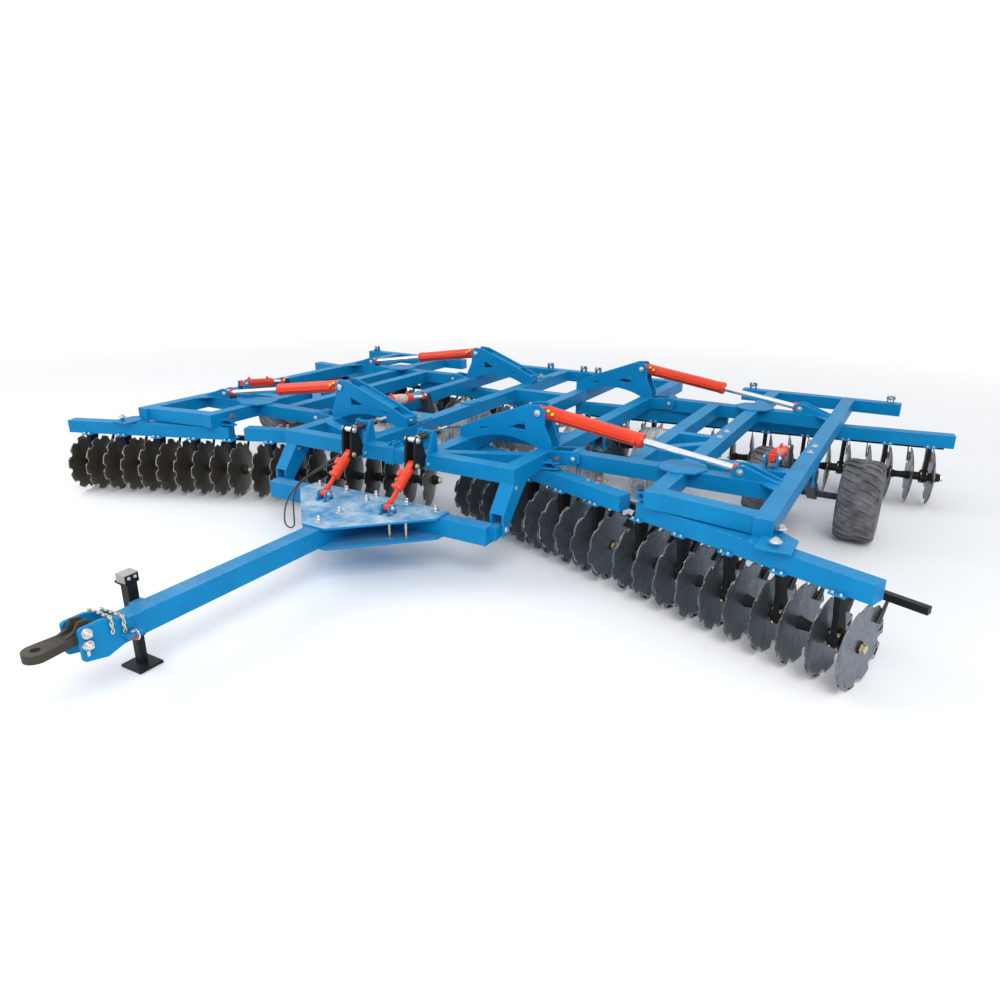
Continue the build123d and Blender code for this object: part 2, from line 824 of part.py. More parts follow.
# Arched brackets that carry the fold cylinders: twin plates with a web along their slope.
with BuildPart() as fold_brackets:
    for sign in (1, -1):
        for _, row_y in hinge_rows:
            for cheek in (-1, 1):
                with BuildSketch(plane_y(row_y + cheek * (bracket_gap + bracket_plate) / 2)):
                    with BuildLine():
                        arch_in = (sign * bracket_arch_in_x, frame_top_z)
                        arch_top = (sign * bracket_arch_x, frame_top_z + bracket_arch_rise)
                        arch_out = (sign * (side_beam_x - beam / 2), frame_top_z)
                        Polyline(
                            arch_in,
                            (sign * bracket_foot_x, frame_top_z),
                            (sign * bracket_foot_x, frame_top_z + 105),
                            (sign * (bracket_arch_in_x + 50), frame_top_z + 205),
                            (sign * (fold_base_x - 110), fold_base_z + 70),
                            (sign * (fold_base_x + 10), fold_base_z + 80),
                            (sign * (fold_base_x + 75), fold_base_z + 20),
                            (sign * (fold_base_x + 75), fold_base_z - 130),
                            (sign * (side_beam_x + 72), frame_top_z + 60),
                            (sign * (side_beam_x + 72), frame_top_z),
                            arch_out,
                        )
                        ThreePointArc(arch_out, arch_top, arch_in)
                    make_face()
                    with BuildLine():
                        Polyline(
                            (sign * 950, frame_top_z + 180),
                            (sign * 1130, frame_top_z + 165),
                            (sign * 1130, frame_top_z + 255),
                            close=True,
                        )
                    make_face(mode=Mode.SUBTRACT)
                    with Locations(Location((sign * bracket_slot_x, frame_top_z + 135), sign * 14)):
                        Rectangle(*bracket_slot, mode=Mode.SUBTRACT)
                extrude(amount=bracket_plate / 2, both=True)
            slab(
                plane_y(row_y),
                (
                    (sign * (bracket_arch_in_x + 60), frame_top_z + 180),
                    (sign * (fold_base_x - 200), fold_base_z + 8),
                    (sign * (fold_base_x - 205), fold_base_z + 8 - bracket_web),
                    (sign * (bracket_arch_in_x + 65), frame_top_z + 180 - bracket_web),
                ),
                bracket_gap,
            )
            with Locations((sign * (bracket_foot_x + 75), row_y, frame_top_z + 60)):
                Box(beam - 10, bracket_gap, 90)
            half_pin = bracket_gap / 2 + bracket_plate + hinge_pin_head
            rod_between(
                (sign * fold_base_x, row_y - half_pin, fold_base_z),
                (sign * fold_base_x, row_y + half_pin, fold_base_z),
                hinge_pin_r,
            )
finish(fold_brackets, "fold_brackets")

# Gang beams and bearing hangers of the centre section and of each wing.
with BuildPart() as centre_gang_beams:
    for sign in (1, -1):
        add_gang_beams("centre", sign)
        add_seats(sign, (spine_x, side_beam_x))
finish(centre_gang_beams, "centre_gang_beams")

with BuildPart() as centre_hangers:
    for sign in (1, -1):
        add(hanger_set("centre", sign))
finish(centre_hangers, "centre_hangers")

for side, sign in SIDES:
    with BuildPart() as wing_gang_beams:
        add_gang_beams("wing", sign)
        add_seats(sign, (wing_mid_x, wing_outer_x))
    finish(wing_gang_beams, f"wing_gang_beams_{side}")

    with BuildPart() as wing_hangers:
        add(hanger_set("wing", sign))
    finish(wing_hangers, f"wing_hangers_{side}")

# Wing frames: two hinge arms, three long beams, braces and the lugs of the cylinders.
for side, sign in SIDES:
    with BuildPart() as wing_frame:
        front_y, rear_y = hinge_rows[0][1], hinge_rows[1][1]
        for _, row_y in hinge_rows:
            bar((sign * wing_arm_start_x, row_y), (sign * wing_outer_x, row_y))
            with Locations(Plane(origin=(sign * hinge_x, row_y, hinge_z), z_dir=(0, 1, 0))):
                Cylinder(hinge_boss_r, beam)
        bar((sign * wing_inner_x, front_y), (sign * wing_inner_x, rear_y))
        bar((sign * wing_mid_x, wing_mid_front_y), (sign * wing_mid_x, rear_beam_y))
        bar((sign * wing_outer_x, wing_outer_front_y), (sign * wing_outer_x, rear_beam_y))
        bar((sign * wing_rear_x[0], rear_beam_y), (sign * wing_rear_x[1], rear_beam_y))
        bar(
            (sign * wing_mid_x, wing_mid_front_y + wing_brace_back),
            (sign * wing_outer_x, wing_outer_front_y + wing_brace_back),
        )
        bar((sign * wing_mid_x, wing_lift_beam_y), (sign * wing_outer_x, wing_lift_beam_y))
        bar((sign * wing_inner_x, wing_tie_y), (sign * wing_mid_x, wing_tie_y), width=brace_width)
        bar((sign * wing_inner_x, wing_diagonal_y[0]), (sign * wing_mid_x, wing_diagonal_y[1]), width=brace_width)
        for _, row_y in hinge_rows:
            with BuildSketch(Plane.XY.offset(frame_top_z)) as octagon:
                with Locations((sign * wing_mid_x, row_y)):
                    RegularPolygon(octagon_width / 2, 8, major_radius=False)
            extrude(octagon.sketch, amount=octagon_plate)
            add_corner_gusset(sign * (wing_outer_x - beam / 2), row_y - beam / 2, -sign, -1)
            plate_pair(
                plane_y,
                row_y,
                fold_lug_gap,
                fold_lug_plate,
                (
                    (sign * (fold_rod_x - 70), frame_top_z),
                    (sign * (fold_rod_x - 60), fold_rod_z + 35),
                    (sign * (fold_rod_x - 20), fold_rod_z + 62),
                    (sign * (fold_rod_x + 40), fold_rod_z + 62),
                    (sign * (wing_outer_x - 60), frame_top_z + 12),
                    (sign * (wing_outer_x - 60), frame_top_z),
                ),
            )
        add_lift_lug(sign * (wing_outer_x - rock_lever_in), wing_lift_beam_y)
        add_arm_bearing(sign * wing_outer_x, WHEELS[1][2] - arm_back)
        add_swivel(sign * (wing_mid_x - beam / 2), -sign, mid_swivel_y)
        end_x, end_y = sign * wing_outer_x, wing_outer_front_y
        flat_plate(frame_bottom_z, swivel_plate, [(end_x + sign * dx, end_y + dy) for dx, dy in OUTER_SWIVEL])
        for dx, dy in OUTER_SWIVEL_BOLTS:
            bolt_at = (end_x + sign * dx, end_y + dy)
            rod_between((*bolt_at, frame_bottom_z), (*bolt_at, frame_bottom_z + swivel_rise), swivel_bolt_r)
        for x in CLEVIS_X["wing"]:
            add_clevis(sign * x, rear_beam_y)
        for _, row_y in hinge_rows:
            bore((sign * hinge_x, row_y, hinge_z), (0, 1, 0), hinge_pin_r + axle_gap, beam + 20)
    finish(wing_frame, f"wing_frame_{side}")

# Disc gangs: one shaft with its spools and discs on each beam.
for row, section, first, last, _, _, bearings in GANGS:
    shaft = gang_solid(row, first, last, bearings)
    for side, sign in SIDES:
        with BuildPart() as disc_gang:
            add(gang_plane(row, sign).location * shaft)
        finish(disc_gang, f"{row}_{section}_discs_{side}")

# Rim of a wheel about the X axis: a flat disc inside a flanged barrel, on a hub tube.
with BuildPart() as rim_blank:
    flange = tyre_width / 2 * rim_flange
    with BuildSketch(Plane.XY) as section:
        with BuildLine():
            Polyline(
                (-hub_half, axle_r + axle_gap),
                (-hub_half, axle_r + hub_wall),
                (-rim_sheet / 2, axle_r + hub_wall),
                (-rim_sheet / 2, rim_r - rim_sheet),
                (-flange, rim_r - rim_sheet),
                (-flange, rim_r),
                (flange, rim_r),
                (flange, rim_r - rim_sheet),
                (rim_sheet / 2, rim_r - rim_sheet),
                (rim_sheet / 2, axle_r + hub_wall),
                (hub_half, axle_r + hub_wall),
                (hub_half, axle_r + axle_gap),
                close=True,
            )
        make_face()
    revolve(section.sketch, axis=Axis.X)
rim = rim_blank.part
tyre = tyre_solid()

# Wheel pairs with their trailing arms and lift cylinders.
for name, arm_x, axle_y in WHEELS:
    for side, sign in SIDES:
        pivot = (sign * arm_x, axle_y - arm_back, arm_pivot_z)
        lever_x = sign * (arm_x - rock_lever_in)
        lever_pin = (lever_x, pivot[1] + lever_pin_back, arm_pivot_z + lever_pin_up)
        with BuildPart() as rockshaft:
            rod_between(
                (sign * (arm_x + beam / 2 + 15), pivot[1], arm_pivot_z),
                (sign * (arm_x - rock_lever_in - 60), pivot[1], arm_pivot_z),
                rock_tube_r,
            )
            run = Vector(0, arm_back, wheel_z - arm_pivot_z)
            middle = Vector(*pivot) + run / 2
            with Locations(Plane(origin=middle, x_dir=run, z_dir=(1, 0, 0))):
                Box(run.length + 60, arm_height, arm_width)
            rod_between(
                (sign * (arm_x - wheel_offset - 60), axle_y, wheel_z),
                (sign * (arm_x + wheel_offset + 60), axle_y, wheel_z),
                axle_r,
            )
            plate_pair(
                plane_x,
                lever_x,
                lever_gap,
                lever_plate,
                (
                    (pivot[1] - 75, arm_pivot_z),
                    (pivot[1] + 75, arm_pivot_z),
                    (lever_pin[1] + 45, lever_pin[2] + 10),
                    (lever_pin[1] + 20, lever_pin[2] + 45),
                    (lever_pin[1] - 20, lever_pin[2] + 45),
                    (lever_pin[1] - 45, lever_pin[2] + 10),
                ),
            )
        finish(rockshaft, f"{name}_wheel_arm_{side}")

        for wheel_part, label in ((tyre, "tyres"), (rim, "rims")):
            with BuildPart() as wheel_pair:
                for offset_x in (-wheel_offset, wheel_offset):
                    add(wheel_part.moved(Location((sign * arm_x + offset_x, axle_y, wheel_z))))
            finish(wheel_pair, f"{name}_{label}_{side}")


def cylinder_pair(name, base, eye, barrel_length, barrel_r, rod_r, eye_width, retracted):
    """Make a barrel and its rod between two pin centres; the eye's hole is left free."""
    run = Vector(*eye) - Vector(*base)
    reach = run.length
    along = Plane(origin=base, z_dir=run, x_dir=(1, 0, 0) if abs(run.X) < 1 else (0, 1, 0))
    wall = barrel_r * 0.2
    clear = 0.6
    pin_r = hinge_pin_r if barrel_r > 60 else 20
    barrel_start = 3 * pin_r if barrel_r < 60 else 2 * pin_r
    with BuildPart() as barrel:
        with BuildSketch(Plane.XZ):
            with BuildLine():
                Polyline(
                    (0, barrel_start),
                    (barrel_r, barrel_start),
                    (barrel_r, barrel_length),
                    (rod_r + clear, barrel_length),
                    (rod_r + clear, barrel_length - 40),
                    (barrel_r - wall, barrel_length - 40),
                    (barrel_r - wall, barrel_start + 30),
                    (0, barrel_start + 30),
                    close=True,
                )
            make_face()
        revolve(axis=Axis.Z)
        with Locations((0, 0, barrel_start / 2 - pin_r * 0.75)):
            Box(eye_width, pin_r * 3.2, barrel_start + pin_r * 1.5)
        with BuildSketch(Plane.YZ):
            Circle(pin_r + axle_gap)
        extrude(amount=eye_width, both=True, mode=Mode.SUBTRACT)
    with BuildPart() as rod:
        start = reach - retracted + 130
        with Locations((0, 0, (start + reach - pin_r * 1.2) / 2)):
            Cylinder(rod_r, reach - pin_r * 1.2 - start)
        with Locations(Plane(origin=(0, 0, reach), z_dir=(1, 0, 0))):
            Cylinder(pin_r * 1.6, eye_width)
        with BuildSketch(Plane.YZ.offset(-eye_width)):
            with Locations((0, reach)):
                Circle(pin_r + axle_gap)
        extrude(amount=eye_width * 2, mode=Mode.SUBTRACT)
    axis_dir = Vector(1, 0, 0) if abs(run.X) < 1 else Vector(0, 1, 0)
    place = Plane(origin=base, z_dir=run, x_dir=axis_dir).location
    for piece, label in ((barrel, "barrel"), (rod, "rod")):
        with BuildPart() as placed:
            add(piece.part.moved(place))
        finish(placed, f"{name[0]}_{label}_{name[1]}")


def lift_retracted(base_y, pivot_y):
    """Return a lift cylinder's pin distance with its wheels fully raised."""
    turn = radians(arm_raise)
    y = pivot_y + lever_pin_back * cos(turn) - lever_pin_up * sin(turn)
    z = arm_pivot_z + lever_pin_back * sin(turn) + lever_pin_up * cos(turn)
    return hypot(y - base_y, z - lift_base_z)


for side, sign in SIDES:
    for row_name, row_y in hinge_rows:
        cylinder_pair(
            (f"fold_{row_name}", side),
            (sign * fold_base_x, row_y, fold_base_z),
            (sign * fold_rod_x, row_y, fold_rod_z),
            fold_barrel_length,
            fold_barrel_r,
            fold_rod_r,
            fold_eye_width,
            fold_retracted,
        )
    for name, arm_x, axle_y in WHEELS:
        base_y = lift_beam_y if name == "centre" else wing_lift_beam_y
        lever_x = sign * (arm_x - rock_lever_in)
        cylinder_pair(
            (f"{name}_lift", side),
            (lever_x, base_y, lift_base_z),
            (lever_x, axle_y - arm_back + lever_pin_back, arm_pivot_z + lever_pin_up),
            lift_barrel_length,
            lift_barrel_r,
            lift_rod_r,
            lift_eye_width,
            lift_retracted(base_y, axle_y - arm_back),
        )
    cylinder_pair(
        ("level", side),
        (sign * level_x, level_top_y, level_top_z),
        (sign * level_x, level_foot_y, level_foot_z),
        level_barrel_length,
        level_barrel_r,
        level_rod_r,
        lift_eye_width,
        level_retracted,
    )

# Levelling cranks on the front beam, with their cushion springs.
with BuildPart() as level_cranks:
    for sign in (1, -1):
        crank_back_y = front_beam_y - beam / 2 - seat_gap
        plate_pair(
            plane_x,
            sign * level_x,
            crank_gap,
            crank_plate,
            (
                (level_top_y - 35, level_top_z - 35),
                (crank_back_y, level_top_z - 35),
                (crank_back_y, frame_mid_z + 40),
                (crank_top_y + 45, crank_top_z + 10),
                (crank_top_y, crank_top_z + 40),
                (crank_top_y - 40, crank_top_z),
            ),
        )
        half_pin = crank_gap / 2 + crank_plate
        for y, z, r in ((level_top_y, level_top_z, lift_pin_r), (crank_top_y, crank_top_z, crank_sleeve_r)):
            rod_between((sign * level_x - half_pin, y, z), (sign * level_x + half_pin, y, z), r)
finish(level_cranks, "level_cranks")

with BuildPart() as cushion_springs:
    for sign in (1, -1):
        for start, end, r in (
            (crank_top_y + crank_sleeve_r + seat_gap, spring_rod_end_y, spring_rod_r),
            (spring_front_y - spring_nut, spring_front_y, spring_nut_r),
            (spring_front_y, spring_block[0] - seat_gap, spring_r),
            (spring_block[1] + seat_gap, spring_rear_y, spring_r),
            (spring_rear_y, spring_rear_y + spring_nut, spring_nut_r),
        ):
            rod_between((sign * level_x, start, crank_top_z), (sign * level_x, end, crank_top_z), r)
finish(cushion_springs, "cushion_springs")

# Drawbar: crossbar with hinge ears, two gusset plates, tongue and hitch cheeks.
with BuildPart() as drawbar:
    bar((-crossbar_half, crossbar_y), (crossbar_half, crossbar_y), crossbar_z, crossbar_depth, crossbar_height)
    bar((0, crossbar_y), (0, tongue_front_y), crossbar_z, tongue_width, crossbar_height)
    for bottom_z in (crossbar_z + crossbar_height / 2, crossbar_z - crossbar_height / 2 - gusset_plate):
        flat_plate(
            bottom_z,
            gusset_plate,
            (
                (-gusset_half, crossbar_y + 110),
                (gusset_half, crossbar_y + 110),
                (gusset_half, crossbar_y - 130),
                (gusset_tip_half, gusset_tip_y),
                (-gusset_tip_half, gusset_tip_y),
                (-gusset_half, crossbar_y - 130),
            ),
            gusset_corner,
        )
    for x, y in GUSSET_STUDS:
        for side in (-1, 1):
            rod_between(
                (side * x, y, crossbar_z - crossbar_height / 2),
                (side * x, y, crossbar_z + crossbar_height / 2),
                stud_r,
            )
    for sign in (1, -1):
        slab(
            plane_x(sign * side_beam_x),
            (
                (crossbar_y + 20, crossbar_z - 60),
                (drawbar_hinge_y + 20, drawbar_hinge_z - 45),
                (drawbar_hinge_y + 45, drawbar_hinge_z),
                (drawbar_hinge_y + 20, drawbar_hinge_z + 45),
                (crossbar_y + 20, crossbar_z + 75),
            ),
            beam - 50 - 2 * hinge_side_gap,
        )
        bore((sign * side_beam_x, drawbar_hinge_y, drawbar_hinge_z), (1, 0, 0), hinge_pin_r + axle_gap, beam)
        plate_pair(
            plane_x,
            sign * level_x,
            level_ear_gap,
            level_ear,
            (
                (level_foot_y - 70, crossbar_z + crossbar_height / 2 + gusset_plate),
                (level_foot_y + 70, crossbar_z + crossbar_height / 2 + gusset_plate),
                (level_foot_y + 28, level_foot_z + 34),
                (level_foot_y - 28, level_foot_z + 34),
            ),
        )
    for cheek in (-1, 1):
        plane = plane_x(cheek * (tongue_width + cheek_plate) / 2)
        with BuildSketch(plane) as outline:
            with BuildLine():
                Polyline(
                    (tongue_front_y + tongue_cap_back, hitch_z - 130),
                    (tongue_front_y + tongue_cap_back, hitch_z + 10),
                    (tongue_front_y - 60, hitch_z + 90),
                    (tongue_front_y - 230, hitch_z + 90),
                    (tongue_front_y - 230, hitch_z - 150),
                    (tongue_front_y - 60, hitch_z - 190),
                    close=True,
                )
            make_face()
            fillet(outline.vertices(), cheek_corner)
        extrude(outline.sketch, amount=cheek_plate / 2, both=True)
    lug_x = tongue_width / 2 + hook_lug[0] / 2
    with Locations((lug_x, hook_lug_y, crossbar_z - 10)):
        Box(*hook_lug)
    arm_length = abs(jack_x) - (tongue_width + jack_tube_width) / 2
    with Locations((jack_x + (jack_tube_width + arm_length) / 2, jack_y, crossbar_z)):
        Box(arm_length, jack_arm[0], jack_arm[1])
finish(drawbar, "drawbar")

with BuildPart() as hitch_eye:
    with BuildSketch(Plane.XY.offset(hitch_z)):
        with BuildLine():
            Polyline(
                (-hitch_tip_r, hitch_y),
                (-70, hitch_y + 150),
                (-60, tongue_front_y - 20),
                (60, tongue_front_y - 20),
                (70, hitch_y + 150),
                (hitch_tip_r, hitch_y),
            )
            ThreePointArc((hitch_tip_r, hitch_y), (0, front_tip_y), (-hitch_tip_r, hitch_y))
        make_face()
        with Locations((0, hitch_y)):
            Circle(hitch_hole_r, mode=Mode.SUBTRACT)
    extrude(amount=hitch_thickness / 2, both=True)
    plate_pair(
        plane_x,
        0,
        yoke_gap,
        yoke_plate,
        (
            (tongue_front_y - 290, hitch_z),
            (tongue_front_y - 120, hitch_z),
            (tongue_front_y - 125, hitch_z + 105),
            (tongue_front_y - 190, hitch_z + 115),
            (tongue_front_y - 225, hitch_z + 60),
            (tongue_front_y - 290, hitch_z + hitch_thickness / 2 + 8),
        ),
    )
    for y in (tongue_front_y - 80, tongue_front_y - 170):
        half_pin = tongue_width / 2 - seat_gap
        rod_between((-half_pin, y, hitch_z), (half_pin, y, hitch_z), 26)
finish(hitch_eye, "hitch_eye")

with BuildPart() as jack_tube:
    inner = jack_leg_width + 2 * axle_gap
    head_bottom_z = jack_top_z - jack_head[2]
    with BuildSketch(Plane.XY.offset(jack_tube_bottom_z)):
        with Locations((jack_x, jack_y)):
            Rectangle(jack_tube_width, jack_tube_width)
            Rectangle(inner, inner, mode=Mode.SUBTRACT)
    extrude(amount=head_bottom_z - jack_tube_bottom_z)
    with Locations((jack_x, jack_y, jack_top_z - jack_head[2] / 2)):
        Box(*jack_head)
    rod_between(
        (jack_x - jack_tube_width / 2, jack_y, jack_crank_z),
        (jack_x - jack_tube_width / 2 - jack_crank_reach, jack_y, jack_crank_z + 8),
        jack_crank_r,
    )
finish(jack_tube, "jack_tube")

with BuildPart() as jack_leg:
    with Locations((jack_x, jack_y, jack_foot[2] / 2)):
        Box(*jack_foot)
    with Locations((jack_x, jack_y, (jack_foot[2] + jack_leg_top_z) / 2)):
        Box(jack_leg_width, jack_leg_width, jack_leg_top_z - jack_foot[2])
finish(jack_leg, "jack_leg")

# Safety chain over the hitch cheeks.
links = []
side_x = tongue_width / 2 + cheek_plate + chain_off
with BuildPart() as safety_chain:
    for strand_y, rest_z in CHAIN_STRANDS:
        top_z = rest_z + chain_off
        lay = [Vector(x, strand_y, z) for x, z in ((side_x, top_z - 120), (side_x, top_z), (-side_x, top_z))]
        lay.append(Vector(-side_x, strand_y, top_z - 200))
        for number in range(chain_links):
            left = chain_pitch * (number + 0.5)
            for start, end in zip(lay, lay[1:]):
                run = end - start
                if left <= run.length:
                    break
                left -= run.length
            middle = start + run.normalized() * left
            flat_way = Vector(0, 1, 0) if number % 2 else run.normalized().cross(Vector(0, 1, 0))
            with BuildSketch(Plane(origin=middle, x_dir=run, z_dir=flat_way)) as link:
                for length, width, mode in (
                    (chain_length, chain_width, Mode.ADD),
                    (chain_length - 2 * chain_wire, chain_width - 2 * chain_wire, Mode.SUBTRACT),
                ):
                    with BuildLine():
                        Polyline(
                            (-length / 2, 0),
                            (-length / 2 + width / 2, width / 2),
                            (length / 2 - width / 2, width / 2),
                            (length / 2, 0),
                            (length / 2 - width / 2, -width / 2),
                            (-length / 2 + width / 2, -width / 2),
                            close=True,
                        )
                    make_face(mode=mode)
            links.append(extrude(link.sketch, amount=chain_wire / 2, both=True, mode=Mode.PRIVATE))
    add(links)
finish(safety_chain, "safety_chain")

# Hoses: a round section swept along straight runs and the arcs that join them.
for name, points in HOSES.items():
    corners = [Vector(*point) for point in points]
    radii = []
    for before, here, after in zip(corners, corners[1:], corners[2:]):
        turn = radians((here - before).get_angle(after - here))
        radii.append(0.45 * min((here - before).length, (after - here).length) / tan(turn / 2))
    print(name, "arcs", [round(radius) for radius in radii])
    with BuildPart() as hose:
        with BuildLine() as route:
            FilletPolyline(*points, radius=radii)
        with BuildSketch(Plane(origin=points[0], z_dir=corners[1] - corners[0])) as section:
            Circle(hose_r)
        sweep(section.sketch, path=route.line)
    length = sum(edge.length for edge in route.edges())
    print(name, "length", round(length), "by volume", round(hose.part.volume / (pi * hose_r**2)))
    finish(hose, name)
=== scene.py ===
"""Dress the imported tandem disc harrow: enamel, steel, film, rubber, springs, hoses, bolts and caps."""

import json
import logging
import math
from contextlib import contextmanager
from dataclasses import dataclass
from enum import Enum
from typing import Callable, Iterable, Iterator, Sequence

import bmesh
import bpy
from mathutils import Matrix, Vector

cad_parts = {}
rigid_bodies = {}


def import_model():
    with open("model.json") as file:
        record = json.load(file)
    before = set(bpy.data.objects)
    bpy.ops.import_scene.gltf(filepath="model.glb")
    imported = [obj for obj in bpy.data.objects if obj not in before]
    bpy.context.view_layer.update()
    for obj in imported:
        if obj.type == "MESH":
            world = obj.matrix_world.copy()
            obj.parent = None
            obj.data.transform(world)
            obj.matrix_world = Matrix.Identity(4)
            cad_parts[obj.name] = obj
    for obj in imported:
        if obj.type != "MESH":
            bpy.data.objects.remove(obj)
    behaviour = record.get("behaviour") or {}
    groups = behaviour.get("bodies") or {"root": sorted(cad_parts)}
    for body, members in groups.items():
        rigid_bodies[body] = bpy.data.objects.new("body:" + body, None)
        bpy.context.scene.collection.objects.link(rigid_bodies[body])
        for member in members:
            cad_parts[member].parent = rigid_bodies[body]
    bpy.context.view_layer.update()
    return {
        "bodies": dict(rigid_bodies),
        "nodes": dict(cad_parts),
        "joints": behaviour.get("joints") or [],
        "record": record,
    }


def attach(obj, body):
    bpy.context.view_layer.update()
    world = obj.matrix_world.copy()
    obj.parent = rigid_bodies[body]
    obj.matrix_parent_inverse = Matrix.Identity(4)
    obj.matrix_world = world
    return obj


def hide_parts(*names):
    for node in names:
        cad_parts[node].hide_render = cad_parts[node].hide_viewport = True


LOG = logging.getLogger("harrow")
Point = tuple[float, float, float]
Colour = tuple[float, float, float]
Profile = Sequence[tuple[float, float]]
Socket = bpy.types.NodeSocket


class Side(Enum):
    """The machine's two sides, valued by the sign of X."""

    LEFT = 1
    RIGHT = -1

    @property
    def label(self) -> str:
        """Return the word that ends the names of this side's nodes."""
        return self.name.lower()

    @property
    def mirror(self) -> Matrix:
        """Return the matrix that carries a place on the left to this side."""
        return Matrix.Diagonal((self.value, 1, 1, 1))


class Way(Enum):
    """Directions in which fixings on the left side point."""

    UP = (0.0, 0.0, 1.0)
    FRONT = (0.0, -1.0, 0.0)
    BACK = (0.0, 1.0, 0.0)
    OUT = (1.0, 0.0, 0.0)
    IN = (-1.0, 0.0, 0.0)


# Bench work.


def focus(*pieces: bpy.types.Object) -> None:
    """Select only these pieces, with the first one active."""
    bpy.ops.object.select_all(action="DESELECT")
    for piece in pieces:
        piece.select_set(True)
    bpy.context.view_layer.objects.active = pieces[0]


@contextmanager
def editing(piece: bpy.types.Object) -> Iterator[bpy.types.Object]:
    """Open a piece in edit mode, and close it again."""
    focus(piece)
    bpy.ops.object.mode_set(mode="EDIT")
    yield piece
    bpy.ops.object.mode_set(mode="OBJECT")


def pick(piece: bpy.types.Object, wanted: Callable[[Vector], bool]) -> None:
    """Select the vertices, in edit mode, whose place passes a test.

    Args:
        piece: The piece that is open in edit mode.
        wanted: Says of a vertex's place whether it is picked.
    """
    shape = bmesh.from_edit_mesh(piece.data)
    bpy.ops.mesh.select_mode(type="VERT")
    for vertex in shape.verts:
        vertex.select = wanted(vertex.co)
    shape.select_flush_mode()
    bmesh.update_edit_mesh(piece.data)


def smooth(piece: bpy.types.Object, angle: float = 40.0) -> bpy.types.Object:
    """Shade a piece smooth, but for edges sharper than an angle in degrees."""
    focus(piece)
    bpy.ops.object.shade_smooth_by_angle(angle=math.radians(angle))
    return piece


def applied(piece: bpy.types.Object, kind: str, **settings: object) -> bpy.types.Object:
    """Add a modifier with these settings and apply it.

    Args:
        piece: The piece that gets the modifier.
        kind: The modifier's type in Blender.
        settings: The modifier's own settings, by their names.

    Returns:
        The same piece.
    """
    focus(piece)
    modifier = piece.modifiers.new(kind.title(), kind)
    for key, value in settings.items():
        setattr(modifier, key, value)
    bpy.ops.object.modifier_apply(modifier=modifier.name)
    return piece


def turned(name: str, profile: Profile, segments: int = 24) -> bpy.types.Object:
    """Turn a closed solid about Z, by extruding and scaling a disc from step to step.

    Args:
        name: Name of the new piece.
        profile: Height and radius of each step, from the bottom up.
        segments: Number of sides round.

    Returns:
        The turned piece.
    """
    height, radius = profile[0]
    bpy.ops.object.select_all(action="DESELECT")
    bpy.ops.mesh.primitive_circle_add(
        vertices=segments, radius=radius, fill_type="NGON", location=(0, 0, height)
    )
    piece = bpy.context.object
    piece.name = name
    bpy.ops.object.transform_apply(location=True)
    with editing(piece):
        bpy.ops.mesh.select_all(action="SELECT")
        for next_height, next_radius in profile[1:]:
            bpy.ops.mesh.extrude_region_move(
                TRANSFORM_OT_translate={"value": (0, 0, next_height - height)}
            )
            grow = next_radius / radius
            bpy.ops.transform.resize(value=(grow, grow, 1), center_override=(0, 0, next_height))
            height, radius = next_height, next_radius
        bpy.ops.mesh.select_all(action="SELECT")
        bpy.ops.mesh.normals_make_consistent(inside=False)
    return smooth(piece)


def block(name: str, size: Point, centre: Point, ease: float = 0.002) -> bpy.types.Object:
    """Mill a block with eased edges.

    Args:
        name: Name of the new piece.
        size: Its length along X, Y and Z.
        centre: Its middle.
        ease: Width of the bevel along its edges.

    Returns:
        The block.
    """
    bpy.ops.object.select_all(action="DESELECT")
    bpy.ops.mesh.primitive_cube_add(size=1)
    piece = bpy.context.object
    piece.name = name
    piece.data.transform(Matrix.Translation(centre) @ Matrix.Diagonal((*size, 1)))
    applied(piece, "BEVEL", width=ease, segments=2)
    return smooth(piece, 30)


def coil(name: str, radius: float, wire: float, pitch: float, turns: int) -> bpy.types.Object:
    """Wind a spring up Z from the origin.

    Args:
        name: Name of the new piece.
        radius: Radius of the coil at the wire's middle.
        wire: Radius of the wire.
        pitch: Rise per turn.
        turns: Number of turns.

    Returns:
        The spring, its ends closed.
    """
    bpy.ops.object.select_all(action="DESELECT")
    bpy.ops.mesh.primitive_circle_add(
        vertices=8, radius=wire, fill_type="NOTHING", rotation=(math.pi / 2, 0, 0), location=(radius, 0, 0)
    )
    piece = bpy.context.object
    piece.name = name
    bpy.ops.object.transform_apply(location=True, rotation=True)
    applied(
        piece,
        "SCREW",
        axis="Z",
        angle=math.tau,
        screw_offset=pitch,
        iterations=turns,
        steps=20,
        render_steps=20,
    )
    with editing(piece):
        bpy.ops.mesh.select_all(action="SELECT")
        bpy.ops.mesh.fill_holes(sides=8)
        bpy.ops.mesh.normals_make_consistent(inside=False)
    return smooth(piece, 60)


def aimed(start: Sequence[float], end: Sequence[float]) -> Matrix:
    """Return the place at start whose Z runs to end."""
    run = Vector(end) - Vector(start)
    return Matrix.Translation(start) @ run.to_track_quat("Z", "Y").to_matrix().to_4x4()


def placed(master: bpy.types.Object, matrix: Matrix) -> bpy.types.Object:
    """Return a copy of a master, with its own mesh moved to a place.

    Args:
        master: The piece to copy.
        matrix: The place; a mirrored one turns the faces back outwards.

    Returns:
        The copy, in the scene.
    """
    copy = master.copy()
    copy.data = master.data.copy()
    copy.data.transform(matrix)
    if matrix.determinant() < 0:
        copy.data.flip_normals()
    bpy.context.scene.collection.objects.link(copy)
    return copy


def joined(name: str, pieces: Sequence[bpy.types.Object]) -> bpy.types.Object:
    """Join pieces into one object of that name."""
    focus(*pieces)
    if len(pieces) > 1:
        bpy.ops.object.join()
    pieces[0].name = name
    return pieces[0]


